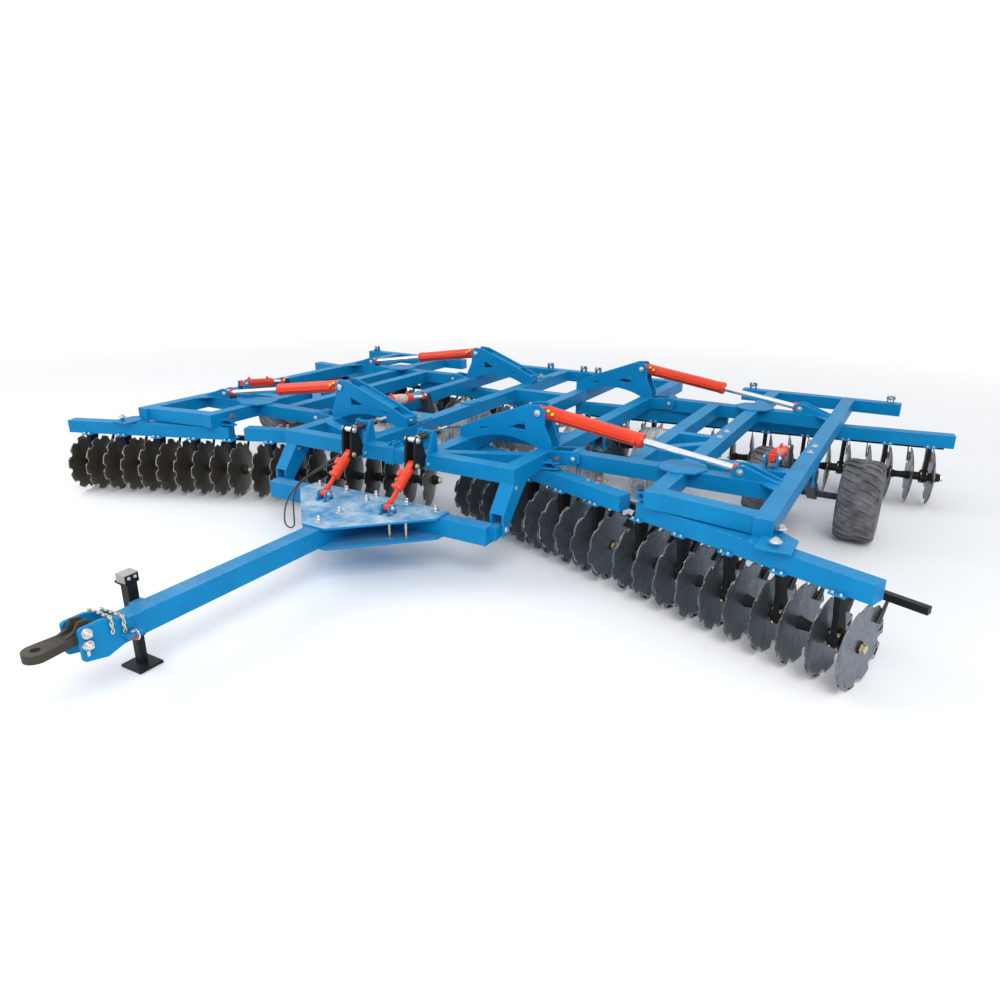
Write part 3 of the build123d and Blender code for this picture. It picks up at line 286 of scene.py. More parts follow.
def repeated(name: str, master: bpy.types.Object, places: Iterable[Matrix]) -> bpy.types.Object:
    """Return one object of a master's copies at all the places."""
    return joined(name, [placed(master, place) for place in places])


def discard(*masters: bpy.types.Object) -> None:
    """Remove masters that only served to be copied."""
    for master in masters:
        bpy.data.objects.remove(master, do_unlink=True)


# Finishes.


class Graph:
    """A material's node graph, with short ways to add and join its nodes."""

    def __init__(self, name: str) -> None:
        """Start the graph with its shader and the object's own coordinates."""
        self.material = bpy.data.materials.new(name)
        self.material.use_nodes = True
        self.tree = self.material.node_tree
        self.shader = self.tree.nodes["Principled BSDF"]
        coordinates = self.tree.nodes.new("ShaderNodeTexCoord")
        self.place = coordinates.outputs["Object"]
        self.facing = coordinates.outputs["Normal"]

    def node(
        self, kind: str, inputs: dict[str | int, object] | None = None, **settings: object
    ) -> bpy.types.Node:
        """Add a node, and link or set its inputs.

        Args:
            kind: The node's type name.
            inputs: Sockets to link from, or values to set, by input name or number.
            settings: The node's own settings.

        Returns:
            The new node.
        """
        made = self.tree.nodes.new(kind)
        for key, value in settings.items():
            setattr(made, key, value)
        for key, value in (inputs or {}).items():
            if isinstance(value, Socket):
                self.tree.links.new(value, made.inputs[key])
            else:
                made.inputs[key].default_value = value
        return made

    def noise(
        self, scale: float, detail: float = 3, roughness: float = 0.6, stretch: Point = (1, 1, 1)
    ) -> Socket:
        """Return a noise over the piece, between 0 and 1."""
        mapping = self.node("ShaderNodeMapping", {"Vector": self.place, "Scale": stretch})
        inputs = {"Vector": mapping.outputs[0], "Scale": scale, "Detail": detail, "Roughness": roughness}
        return self.node("ShaderNodeTexNoise", inputs).outputs[0]

    def ramp(self, value: Socket, low: float, high: float, bottom: float = 0, top: float = 1) -> Socket:
        """Return a value stretched from a range to another, and held within it."""
        inputs = {0: value, 1: low, 2: high, 3: bottom, 4: top}
        return self.node("ShaderNodeMapRange", inputs).outputs[0]

    def maths(self, operation: str, first: object, second: object = 0.0) -> Socket:
        """Return the result of an operation on two values."""
        return self.node("ShaderNodeMath", {0: first, 1: second}, operation=operation).outputs[0]

    def times(self, first: Socket, second: Socket | float) -> Socket:
        """Return the product of two values."""
        return self.maths("MULTIPLY", first, second)

    def mix(self, share: Socket, first: object, second: object) -> Socket:
        """Return a colour between two, by a share of the second.

        Args:
            share: Share of the second colour.
            first: A colour or a socket.
            second: A colour or a socket.

        Returns:
            The mixed colour.
        """
        node = self.node("ShaderNodeMix", {0: share}, data_type="RGBA")
        for number, value in ((6, first), (7, second)):
            if isinstance(value, Socket):
                self.tree.links.new(value, node.inputs[number])
            else:
                node.inputs[number].default_value = (*value, 1)
        return node.outputs[2]

    def parts(self, vector: Socket) -> tuple[Socket, Socket, Socket]:
        """Return the three parts of a vector."""
        return tuple(self.node("ShaderNodeSeparateXYZ", {0: vector}).outputs)

    def upward(self, low: float = 0.6, high: float = 0.95) -> Socket:
        """Return how far a surface faces up, as it stands at rest."""
        return self.ramp(self.parts(self.facing)[2], low, high)

    def edges(self, radius: float, start: float = 0.995, full: float = 0.9) -> tuple[Socket, Socket]:
        """Return the normal of rounded edges, and how close a point is to one."""
        rounded = self.node("ShaderNodeBevel", {"Radius": radius}, samples=4).outputs[0]
        true_normal = self.node("ShaderNodeNewGeometry").outputs["True Normal"]
        likeness = self.node("ShaderNodeVectorMath", {0: rounded, 1: true_normal}, operation="DOT_PRODUCT")
        return rounded, self.ramp(likeness.outputs["Value"], start, full)

    def relief(
        self, height: Socket, strength: float, distance: float, normal: Socket | None = None
    ) -> None:
        """Give the shader a bumpy surface.

        Args:
            height: Height of the bumps.
            strength: How much of them shows.
            distance: Their height in metres.
            normal: Normal to start from, where edges are rounded.
        """
        inputs = {"Height": height, "Strength": strength, "Distance": distance}
        if normal is not None:
            inputs["Normal"] = normal
        bump = self.node("ShaderNodeBump", inputs)
        self.tree.links.new(bump.outputs[0], self.shader.inputs["Normal"])

    def give(self, **inputs: object) -> bpy.types.Material:
        """Link or set the shader's sockets, named with _ for a space, and return the material."""
        for key, value in inputs.items():
            socket = self.shader.inputs[key.replace("_", " ")]
            if isinstance(value, Socket):
                self.tree.links.new(value, socket)
            elif isinstance(value, tuple) and len(value) == 3:
                socket.default_value = (*value, 1)
            else:
                socket.default_value = value
        return self.material


@dataclass(frozen=True)
class Enamel:
    """Sprayed enamel: rounded edges with a painted highlight, a little bare wear, and dust on its upper
    faces, which on the frame is a brighter blue, painted top light.
    """

    name: str
    colour: Colour
    worn: Colour = (0.45, 0.62, 0.74)
    # Colour that upward faces are mixed towards: pale dust, and on the frame a brighter blue that is painted
    # top light.
    dust: Colour = (0.50, 0.62, 0.68)
    dusty: float = 0.35
    roughness: float = 0.42
    edge: float = 0.007
    shine: float = 0.14
    # Low and high Y, and the height above which the enamel is thick with dust.
    thick_dust: tuple[float, float, float] | None = None

    def build(self) -> bpy.types.Material:
        """Return the material."""
        graph = Graph(self.name)
        deep = tuple(channel * 0.84 for channel in self.colour)
        patches = graph.ramp(graph.noise(3.2, 4), 0.3, 0.7)
        paint = graph.mix(patches, self.colour, deep)
        specks = graph.ramp(graph.noise(26, 6, 0.7), 0.4, 0.72)
        clouds = graph.ramp(graph.noise(2.1, 5, 0.65), 0.38, 0.72, 0.12)
        # Upward faces in clouds: real dust, and on the frame painted top light.
        dust = graph.times(graph.times(graph.upward(), clouds), graph.ramp(specks, 0, 1, 0.45, 1))
        share = graph.times(dust, self.dusty)
        if self.thick_dust is not None:
            share = graph.maths("MAXIMUM", share, self.thick(graph))
        dust_and_top_light = graph.mix(share, paint, self.dust)
        rounded, near_edge = graph.edges(self.edge)
        bare = graph.times(near_edge, graph.ramp(graph.noise(34, 4, 0.7), 0.5, 0.68, 0, 0.6))
        # Painted highlight: near the rounded edges the paint is mixed towards a brighter copy of itself.
        painted_edge_highlight = tuple(min(1.0, channel * 1.55) for channel in self.colour)
        edge_highlighted = graph.mix(graph.times(near_edge, 0.6), dust_and_top_light, painted_edge_highlight)
        colour = graph.mix(bare, edge_highlighted, self.worn)
        rough = graph.ramp(share, 0, 1, self.roughness, 0.85)
        graph.relief(graph.noise(90, 3), 0.10, 0.0015, rounded)
        return graph.give(Base_Color=colour, Roughness=rough, Specular_IOR_Level=self.shine)

    def thick(self, graph: Graph) -> Socket:
        """Return the share of the thick, mottled dust that lies within the stated stretch.

        Args:
            graph: The enamel's graph.

        Returns:
            Share of dust, 0 outside the stretch.
        """
        front, back, height = self.thick_dust
        _, y, z = graph.parts(graph.place)
        within = graph.times(graph.maths("GREATER_THAN", y, front), graph.maths("LESS_THAN", y, back))
        within = graph.times(within, graph.maths("GREATER_THAN", z, height))
        mottle = graph.ramp(graph.noise(3.4, 7, 0.7), 0.36, 0.62, 0.05, 0.92)
        return graph.times(graph.times(within, graph.upward()), mottle)


@dataclass(frozen=True)
class Plated:
    """Bright or plated steel: zinc, yellow zinc or chrome."""

    name: str
    colour: Colour
    dull: Colour
    roughness: float = 0.3

    def build(self) -> bpy.types.Material:
        """Return the material."""
        graph = Graph(self.name)
        bloom = graph.ramp(graph.noise(40, 4), 0.35, 0.7)
        colour = graph.mix(bloom, self.colour, self.dull)
        rough = graph.ramp(graph.noise(70, 3), 0.2, 0.8, self.roughness * 0.75, self.roughness * 1.5)
        graph.relief(graph.noise(180, 2), 0.06, 0.0008)
        return graph.give(Base_Color=colour, Roughness=rough, Metallic=1.0)


@dataclass(frozen=True)
class BladeSteel:
    """Hardened blades: painted reflection, blue-grey on the dish and browner on the back, with scuffs towards
    the rim.
    """

    name: str = "disc_blade_steel"
    # Painted reflection: the dish side of each blade takes this blue-grey, the back the browner colour below.
    dish: Colour = (0.150, 0.176, 0.210)
    back: Colour = (0.105, 0.088, 0.066)
    scuff: Colour = (0.34, 0.38, 0.42)
    rim: Colour = (0.48, 0.49, 0.48)
    roughness: float = 0.34
    # Y between the front row, whose dishes face out, and the rear row, whose dishes face in.
    between_rows: float = 1.9

    def build(self) -> bpy.types.Material:
        """Return the material."""
        graph = Graph(self.name)
        x, y, _ = graph.parts(graph.place)
        across = graph.parts(graph.facing)[0]
        row = graph.maths("SIGN", graph.maths("SUBTRACT", self.between_rows, y))
        outward = graph.times(graph.times(across, graph.maths("SIGN", x)), row)
        # Painted reflection: the dish side is mixed to blue-grey and the back to brown.
        dish_reflection_share = graph.ramp(outward, -0.2, 0.25)
        body = graph.mix(dish_reflection_share, self.back, self.dish)
        smears = graph.ramp(graph.noise(7, 6, 0.7), 0.42, 0.75)
        grain = graph.ramp(graph.noise(60, 4, 0.7), 0.45, 0.8, 0, 0.5)
        rounded, near_edge = graph.edges(0.004, 0.93, 0.8)
        colour = graph.mix(graph.times(grain, smears), body, self.scuff)
        colour = graph.mix(graph.times(near_edge, 0.9), colour, self.rim)
        rough = graph.ramp(graph.noise(15, 5), 0.3, 0.7, self.roughness * 0.75, self.roughness * 1.35)
        graph.relief(graph.noise(130, 3), 0.08, 0.001, rounded)
        return graph.give(Base_Color=colour, Roughness=rough, Metallic=0.7)


@dataclass(frozen=True)
class Rubber:
    """Tyre or hose rubber, with clouds of dust."""

    name: str
    colour: Colour = (0.052, 0.054, 0.059)
    dust: Colour = (0.235, 0.240, 0.252)
    dusty: float = 0.75
    grain: float = 60

    def build(self) -> bpy.types.Material:
        """Return the material."""
        graph = Graph(self.name)
        clouds = graph.times(graph.ramp(graph.noise(5, 5, 0.7), 0.34, 0.68), self.dusty)
        colour = graph.mix(clouds, self.colour, self.dust)
        rough = graph.ramp(graph.noise(12, 4), 0.3, 0.7, 0.55, 0.8)
        graph.relief(graph.noise(self.grain, 3), 0.2, 0.0015)
        return graph.give(Base_Color=colour, Roughness=rough)


@dataclass(frozen=True)
class Film:
    """Stretch film over a darker body: milky streaks, wrinkles and a wet gloss."""

    name: str
    under: Colour = (0.05, 0.055, 0.06)
    milk: Colour = (0.52, 0.55, 0.57)
    stretch: Point = (5.0, 1.0, 1.0)
    least: float = 0.12

    def build(self) -> bpy.types.Material:
        """Return the material."""
        graph = Graph(self.name)
        streaks = graph.noise(5.5, 6, 0.62, self.stretch)
        folds = graph.noise(19, 4, 0.7, self.stretch)
        folded = graph.times(streaks, graph.ramp(folds, 0.2, 0.8, 0.7, 1.25))
        colour = graph.mix(graph.ramp(folded, 0.3, 0.62, self.least, 1), self.under, self.milk)
        rough = graph.ramp(folds, 0.3, 0.7, 0.16, 0.4)
        graph.relief(folds, 0.55, 0.006)
        return graph.give(Base_Color=colour, Roughness=rough, Coat_Weight=0.5, Coat_Roughness=0.12)


@dataclass(frozen=True)
class Moulded:
    """Moulded plastic caps and latches."""

    name: str
    colour: Colour
    roughness: float = 0.4

    def build(self) -> bpy.types.Material:
        """Return the material."""
        graph = Graph(self.name)
        shade = graph.ramp(graph.noise(50, 3), 0.35, 0.65)
        colour = graph.mix(shade, self.colour, tuple(channel * 0.8 for channel in self.colour))
        graph.relief(graph.noise(200, 2), 0.08, 0.0006)
        return graph.give(Base_Color=colour, Roughness=self.roughness)


BLUE = (0.001, 0.235, 0.525)
RED = (0.82, 0.050, 0.012)
DARK_DUST = {"worn": (0.2, 0.2, 0.2), "dust": (0.16, 0.16, 0.155)}


class Paintshop:
    """Every finish of the machine, each built once."""

    FINISHES = {
        # Painted top light: the frame's upward faces turn a brighter blue, given as its dust colour.
        "frame": Enamel("frame_enamel", BLUE, dust=(0.10, 0.47, 0.66)),
        "drawbar": Enamel("drawbar_enamel", BLUE, thick_dust=(-1.9, -0.86, 0.59)),
        "cylinder": Enamel(
            "cylinder_enamel", RED, worn=(0.8, 0.4, 0.3), dust=(0.8, 0.5, 0.42), dusty=0.2,
            roughness=0.3, edge=0.003, shine=0.4
        ),
        "arm": Enamel("arm_enamel", (0.035, 0.05, 0.075), dusty=0.4, **DARK_DUST),
        "black": Enamel("satin_black", (0.014, 0.014, 0.015), dusty=0.35, edge=0.004, **DARK_DUST),
        "spring": Enamel(
            "spring_black", (0.010, 0.010, 0.011), roughness=0.3, edge=0.002, shine=0.6, dusty=0.1
        ),
        "jack_cap": Enamel("jack_cap_grey", (0.42, 0.42, 0.36), worn=(0.16, 0.16, 0.14), edge=0.004),
        "rim": Enamel("rim_enamel", (0.52, 0.53, 0.54), worn=(0.3, 0.3, 0.3), dusty=0.3, edge=0.003),
        "forged": Enamel(
            "forged_scale", (0.060, 0.052, 0.042), worn=(0.22, 0.2, 0.17), dust=(0.24, 0.21, 0.17),
            dusty=0.6, roughness=0.55
        ),
        "chrome": Plated("hard_chrome", (0.88, 0.89, 0.91), (0.78, 0.79, 0.81), 0.16),
        "zinc": Plated("bright_zinc", (0.74, 0.75, 0.75), (0.56, 0.57, 0.57), 0.34),
        "yellow_zinc": Plated("yellow_zinc", (0.72, 0.60, 0.34), (0.52, 0.48, 0.36), 0.36),
        "chain_zinc": Plated("chain_zinc", (0.84, 0.78, 0.62), (0.66, 0.60, 0.50), 0.30),
        "blade": BladeSteel(),
        "tyre": Rubber("tyre_rubber"),
        "hose": Rubber("hose_rubber", (0.030, 0.032, 0.034), dusty=0.25, grain=180),
        "film": Film("stretch_film"),
        "red_film": Film("film_on_cylinder", (0.62, 0.16, 0.11), (0.82, 0.62, 0.56), (1, 4, 4), 0.3),
        "yellow_cap": Moulded("yellow_cap", (0.86, 0.70, 0.03)),
        "red_cap": Moulded("red_cap", (0.66, 0.04, 0.03)),
        "pink_cap": Moulded("faded_red_cap", (0.60, 0.26, 0.24)),
        "grey_cap": Moulded("grey_cap", (0.10, 0.105, 0.11)),
    }

    def __init__(self) -> None:
        """Build all the materials."""
        self.materials = {key: finish.build() for key, finish in self.FINISHES.items()}

    def coat(self, piece: bpy.types.Object, finish: str) -> None:
        """Give a piece one finish all over."""
        piece.data.materials.clear()
        piece.data.materials.append(self.materials[finish])


# Finish of a CAD node, by the first of these words that its name contains.
NODE_FINISHES = {
    "discs": "blade",
    "hangers": "black",
    "tyres": "tyre",
    "rims": "rim",
    "level_rod": "cylinder",
    "rod": "chrome",
    "barrel": "cylinder",
    "wheel_arm": "arm",
    "level_cranks": "black",
    "cushion_springs": "zinc",
    "hose": "hose",
    "safety_chain": "chain_zinc",
    "hitch_eye": "forged",
    "jack": "black",
    "drawbar": "drawbar",
    "": "frame",
}


@dataclass
class Workshop:
    """What every sub-assembly needs to finish its pieces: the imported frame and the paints."""

    frame: dict
    paints: Paintshop

    def fit(
        self, piece: bpy.types.Object, finish: str, body: str, slot: str, replaces: Sequence[str] = ()
    ) -> bpy.types.Object:
        """Paint a piece, let it ride on a body and report it.

        Args:
            piece: The finished piece, with its place in its mesh.
            finish: Key of its finish in the paint shop.
            body: The body that carries it.
            slot: The record's material slot that it belongs to; not used.
            replaces: CAD nodes that it stands for.

        Returns:
            The same piece.
        """
        self.paints.coat(piece, finish)
        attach(piece, body)
        if replaces:
            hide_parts(*replaces)
        LOG.info("%s on %s", piece.name, body)
        return piece

    def paint_nodes(self, finishes: dict[str, str]) -> None:
        """Paint the CAD nodes by the first word that their name contains."""
        for name, node in self.frame["nodes"].items():
            finish = next(value for key, value in finishes.items() if key in name)
            self.paints.coat(node, finish)


# Hoses.


@dataclass(frozen=True)
class HoseRun:
    """One hydraulic hose: the CAD node that it stands for, its length and its route."""

    node: str
    length: float
    route: tuple[Point, ...]


HOSE_RUNS = (
    HoseRun(
        "hose_crank",
        2.391,
        (
            (-0.500, -0.685, 0.970),
            (-0.500, -0.755, 0.970),
            (-0.560, -0.850, 0.912),
            (-0.700, -0.985, 0.800),
            (-0.850, -1.095, 0.672),
            (-0.955, -1.150, 0.530),
            (-1.012, -1.168, 0.405),
            (-1.034, -1.176, 0.305),
            (-1.036, -1.180, 0.217),
            (-1.010, -1.181, 0.180),
            (-0.966, -1.182, 0.166),
            (-0.922, -1.181, 0.180),
            (-0.896, -1.180, 0.217),
            (-0.897, -1.176, 0.300),
            (-0.905, -1.167, 0.390),
            (-0.915, -1.145, 0.505),
            (-0.880, -1.100, 0.635),
            (-0.770, -1.010, 0.735),
            (-0.655, -0.900, 0.815),
            (-0.560, -0.805, 0.865),
            (-0.535, -0.745, 0.912),
            (-0.535, -0.685, 0.912),
        ),
    ),
    HoseRun(
        "hose_cross",
        0.720,
        (
            (-0.355, 0.140, 1.120),
            (-0.275, 0.140, 1.120),
            (-0.140, 0.150, 1.090),
            (0.010, 0.172, 1.078),
            (0.150, 0.190, 1.090),
            (0.270, 0.200, 1.120),
            (0.355, 0.200, 1.120),
        ),
    ),
)


@dataclass
class Hoses:
    """The free hydraulic hoses, each one smooth curve between two crimped ends."""

    shop: Workshop
    radius: float = 0.008

    def line(self, run: HoseRun) -> bpy.types.Object:
        """Return a hose as one open spline through its route.

        Args:
            run: The hose's run.

        Returns:
            The hose as a curve with a round section.
        """
        data = bpy.data.curves.new(f"{run.node}_line", "CURVE")
        data.dimensions = "3D"
        data.bevel_depth = self.radius
        data.bevel_resolution = 3
        data.use_fill_caps = True
        spline = data.splines.new("NURBS")
        spline.points.add(len(run.route) - 1)
        for point, place in zip(spline.points, run.route):
            point.co = (*place, 1)
        spline.order_u = 3
        spline.use_endpoint_u = True
        piece = bpy.data.objects.new(f"{run.node}_line", data)
        bpy.context.scene.collection.objects.link(piece)
        return piece

    def ends(self, run: HoseRun) -> bpy.types.Object:
        """Return the crimped ferrule and nut at both ends of a hose.

        Args:
            run: The hose's run.

        Returns:
            Both ends as one piece.
        """
        r = self.radius
        nut = turned("nut", ((0, r), (0, r * 2.0), (0.013, r * 2.0), (0.015, r * 1.7)), 6)
        crimp = ((0.014, r * 1.5), (0.018, r * 1.62), (0.022, r * 1.5), (0.026, r * 1.62), (0.036, r * 1.5))
        ferrule = turned("ferrule", crimp + ((0.038, r * 1.2),), 16)
        master = joined("crimp_master", [nut, ferrule])
        ways = (aimed(run.route[0], run.route[1]), aimed(run.route[-1], run.route[-2]))
        ends = repeated(f"{run.node}_ends", master, ways)
        discard(master)
        return ends

    def build(self) -> None:
        for run in HOSE_RUNS:
            ends = self.shop.fit(self.ends(run), "zinc", "root", "zinc")
            line = self.shop.fit(self.line(run), "hose", "root", "hose_rubber", (run.node,))
            run.length


# Disc gangs.


@dataclass(frozen=True)
class Row:
    """One row of gangs, as it runs out on the left side."""

    name: str
    x: float
    y: float
    angle: float
    opens: int
    first_on_wing: int
    extra_gap: float
    # Places of the bearing hangers of each section, where 0.5 is halfway from disc 0 to disc 1.
    hangers: dict[str, tuple[float, ...]]
    spacing: float = 0.230

    def station(self, number: float) -> float:
        """Return how far along the row a disc, or a place between discs, lies."""
        return number * self.spacing + (self.extra_gap if number >= self.first_on_wing else 0)

    @property
    def base(self) -> Matrix:
        """Return the left row's place on the ground, with X along it, Y back and Z up."""
        turn = Matrix.Rotation(math.radians(self.angle), 4, "Z")
        return Matrix.Translation((self.x, self.y, 0)) @ turn


FRONT_ROW = Row(
    "front", 0.286, 0.475, -20.9, 1, 10, 0.063,
    {"centre": (0.5, 2.5, 4.5, 6.5, 8.5), "wing": (10.5, 12.5, 14.5, 16.5, 18.5)},
)
REAR_ROW = Row(
    "rear", 0.430, 3.016, 8.0, -1, 9, 0.035,
    {"centre": (0.5, 2.5, 4.5, 6.5), "wing": (10.5, 12.5, 14.5, 16.5, 18.5)},
)


def section_body(section: str, side: Side) -> str:
    """Return the body that carries a section's beams and hangers."""
    return "root" if section == "centre" else f"wing_{side.label}"


@dataclass
class DiscBlade:
    """One notched and dished blade."""

    radius: float = 0.330
    dish: float = 0.050
    lobes: int = 10
    steps: int = 15
    thickness: float = 0.006
    # How deep a notch is at each step from its middle.
    notch: tuple[float, ...] = (0.036, 0.034, 0.020)
    rings: tuple[float, ...] = (0.93, 0.8, 0.62, 0.42, 0.19)

    def master(self) -> bpy.types.Object:
        """Return the blade about Z, its rim above its hub."""
        bpy.ops.object.select_all(action="DESELECT")
        bpy.ops.mesh.primitive_circle_add(
            vertices=self.lobes * self.steps, radius=self.radius, fill_type="NGON"
        )
        blade = bpy.context.object
        blade.name = "blade_master"
        pitch = math.tau / (self.lobes * self.steps)
        with editing(blade):
            for step, depth in enumerate(self.notch):

                def in_notch(co: Vector, step: int = step) -> bool:
                    """Say whether a vertex stands this many steps from a notch's middle."""
                    turn = round(math.atan2(co.x, co.y) / pitch) % self.steps
                    return co.length > self.radius * 0.99 and min(turn, self.steps - turn) == step

                pick(blade, in_notch)
                shrink = (self.radius - depth) / self.radius
                bpy.ops.transform.resize(value=(shrink, shrink, 1), center_override=(0, 0, 0))
            bpy.ops.mesh.select_all(action="SELECT")
            done = 1.0
            for share in self.rings:
                bpy.ops.mesh.extrude_region_move(TRANSFORM_OT_translate={"value": (0, 0, 0)})
                grow = share / done
                bpy.ops.transform.resize(value=(grow, grow, 1), center_override=(0, 0, 0))
                done = share
        sphere = (self.radius**2 + self.dish**2) / (2 * self.dish)
        for vertex in blade.data.vertices:
            reach = math.hypot(vertex.co.x, vertex.co.y)
            vertex.co.z = sphere - math.sqrt(sphere**2 - reach**2)
        applied(blade, "SOLIDIFY", thickness=self.thickness, offset=0)
        with editing(blade):
            bpy.ops.mesh.select_all(action="SELECT")
            bpy.ops.mesh.normals_make_consistent(inside=False)
        return smooth(blade, 50)


@dataclass
class Gangs:
    """All disc gangs: blades, bell spools, bearing sleeves, end hubs and nuts."""

    shop: Workshop
    axis_z: float = 0.342
    half_hub: float = 0.004
    # Row, section, first and last disc, and the gaps that hold a bearing.
    table: tuple = (
        (FRONT_ROW, "centre", 0, 9, (0, 2, 4, 6, 8)),
        (FRONT_ROW, "wing", 10, 19, (10, 12, 14, 16, 18)),
        (REAR_ROW, "centre", 0, 8, (0, 2, 4, 6)),
        (REAR_ROW, "wing", 9, 19, (10, 12, 14, 16, 18)),
    )

    def place(self, row: Row, side: Side) -> Matrix:
        """Return the place of the innermost disc's hub, with X up and Z out along the gang."""
        angle = math.radians(row.angle)
        out = Vector((side.value * math.cos(angle), math.sin(angle), 0))
        up = Vector((0, 0, 1))
        turn = Matrix((up, out.cross(up), out)).transposed().to_4x4()
        return Matrix.Translation((side.value * row.x, row.y, self.axis_z)) @ turn

    def masters(self) -> dict[str, bpy.types.Object]:
        """Return the bell spool, the bearing sleeve, the end hub and the nut, each up Z from its disc."""
        gap = FRONT_ROW.spacing - self.half_hub
        start = self.half_hub
        mouth = ((start, 0.034), (start, 0.063), (start + 0.010, 0.064), (start + 0.018, 0.060))
        foot = ((gap - 0.016, 0.047), (gap - 0.012, 0.052), (gap, 0.052), (gap, 0.034))
        neck = ((0.055, 0.051), (0.100, 0.043), (0.145, 0.039), (0.190, 0.040))
        sleeve = ((0.050, 0.0505), (0.056, 0.049), (0.174, 0.049), (0.180, 0.0505))
        hub = ((start, 0.034), (start, 0.060), (0.012, 0.061), (0.030, 0.054), (0.064, 0.043), (0.066, 0.030))
        washer = ((0.064, 0.020), (0.064, 0.044), (0.069, 0.044))
        nut = washer + ((0.0692, 0.036), (0.092, 0.036), (0.0945, 0.030))
        return {
            "bell": turned("bell_master", mouth + neck + foot, 28),
            "sleeve": turned("sleeve_master", mouth + sleeve + foot, 28),
            "hub": turned("hub_master", hub, 28),
            "nut": turned("nut_master", nut, 6),
        }

    def build(self) -> None:
        """Build the gangs of both sides in place of the CAD's."""
        blade = DiscBlade().master()
        masters = self.masters()
        over = Matrix.Rotation(math.pi, 4, "X")
        for side in Side:
            for row, section, first, last, bearings in self.table:
                base = self.place(row, side)
                node = f"{row.name}_{section}_discs_{side.label}"
                face = Matrix.Identity(4) if row.opens > 0 else over
                blades, spools, nuts = [], [], []
                for number in range(first, last + 1):
                    hub = base @ Matrix.Translation((0, 0, row.station(number)))
                    spin = Matrix.Rotation(math.radians(11 * number), 4, "Z")
                    blades.append(placed(blade, hub @ spin @ face))
                    next_number = number + row.opens
                    if first <= next_number <= last:
                        kind = "sleeve" if min(number, next_number) in bearings else "bell"
                        spools.append(placed(masters[kind], hub @ face))
                for number, way in ((first, over), (last, Matrix.Identity(4))):
                    hub = base @ Matrix.Translation((0, 0, row.station(number)))
                    spools.append(placed(masters["hub"], hub @ way))
                    nuts.append(placed(masters["nut"], hub @ way))
                name = f"{row.name}_{section}"
                label = side.label
                self.shop.fit(joined(f"{name}_blades_{label}", blades), "blade", node, "disc_steel", (node,))
                self.shop.fit(joined(f"{name}_spools_{label}", spools), "black", node, "hanger_black")
                self.shop.fit(joined(f"{name}_end_nuts_{label}", nuts), "yellow_zinc", node, "zinc")
        discard(blade, *masters.values())


@dataclass
class GangClamps:
    """Where the hangers hang from the gang beams: clamp lips, their bolts and the bearing bolts."""

    shop: Workshop
    lead: float = -0.038
    beam_half: float = 0.075
    lip: float = 0.030
    plate_low: float = 0.7205
    plate_high: float = 0.7375
    half_width: float = 0.062
    housing: float = 0.076
    axis_z: float = 0.342

    def lips(self) -> bpy.types.Object:
        """Return the clamp plate of one hanger, wider than its beam."""
        depth = 2 * (self.beam_half + self.lip)
        size = (2 * self.half_width, depth, self.plate_high - self.plate_low)
        return block("lip_master", size, (0, self.lead, (self.plate_high + self.plate_low) / 2))

    def lip_bolts(self) -> bpy.types.Object:
        """Return the bolts on both lips of one plate."""
        bolt = Fixings.hexagon(0.012, 0.016)
        reach = self.beam_half + self.lip * 0.55
        places = [
            Matrix.Translation((x, self.lead + way * reach, self.plate_high))
            for x in (-0.032, 0.032)
            for way in (-1, 1)
        ]
        made = repeated("lip_bolt_master", bolt, places)
        discard(bolt)
        return made

    def bearing_bolts(self) -> bpy.types.Object:
        """Return the bolts and the grease nipple on one bearing housing."""
        bolt = Fixings.hexagon(0.011, 0.012)
        slant = self.housing * math.sin(math.pi / 4)
        places = []
        for x in (-0.028, 0.028):
            for up in (-1, 1):
                start = Vector((x, -slant, self.axis_z + up * slant))
                places.append(aimed(start, start + Vector((0, -1, up))))
        nipple = turned("nipple", ((0.0, 0.006), (0.012, 0.006), (0.014, 0.004), (0.020, 0.004)), 8)
        nipple.data.transform(Matrix.Translation((0, -0.02, self.axis_z + self.housing)))
        made = joined("bearing_bolt_master", [repeated("bolts", bolt, places), nipple])
        discard(bolt)
        return made

    def build(self) -> None:
        """Put the clamps and bolts at every hanger."""
        masters = (
            ("clamp_lips", self.lips(), "frame", "frame_blue"),
            ("clamp_bolts", self.lip_bolts(), "zinc", "zinc"),
            ("bearing_bolts", self.bearing_bolts(), "yellow_zinc", "zinc"),
        )
        for side in Side:
            for section in ("centre", "wing"):
                places = [
                    side.mirror @ row.base @ Matrix.Translation((row.station(number), 0, 0))
                    for row in (FRONT_ROW, REAR_ROW)
                    for number in row.hangers[section]
                ]
                for name, master, finish, slot in masters:
                    piece = repeated(f"{section}_{name}_{side.label}", master, places)
                    self.shop.fit(piece, finish, section_body(section, side), slot)
        discard(*(master for _, master, _, _ in masters))


# Wheels.


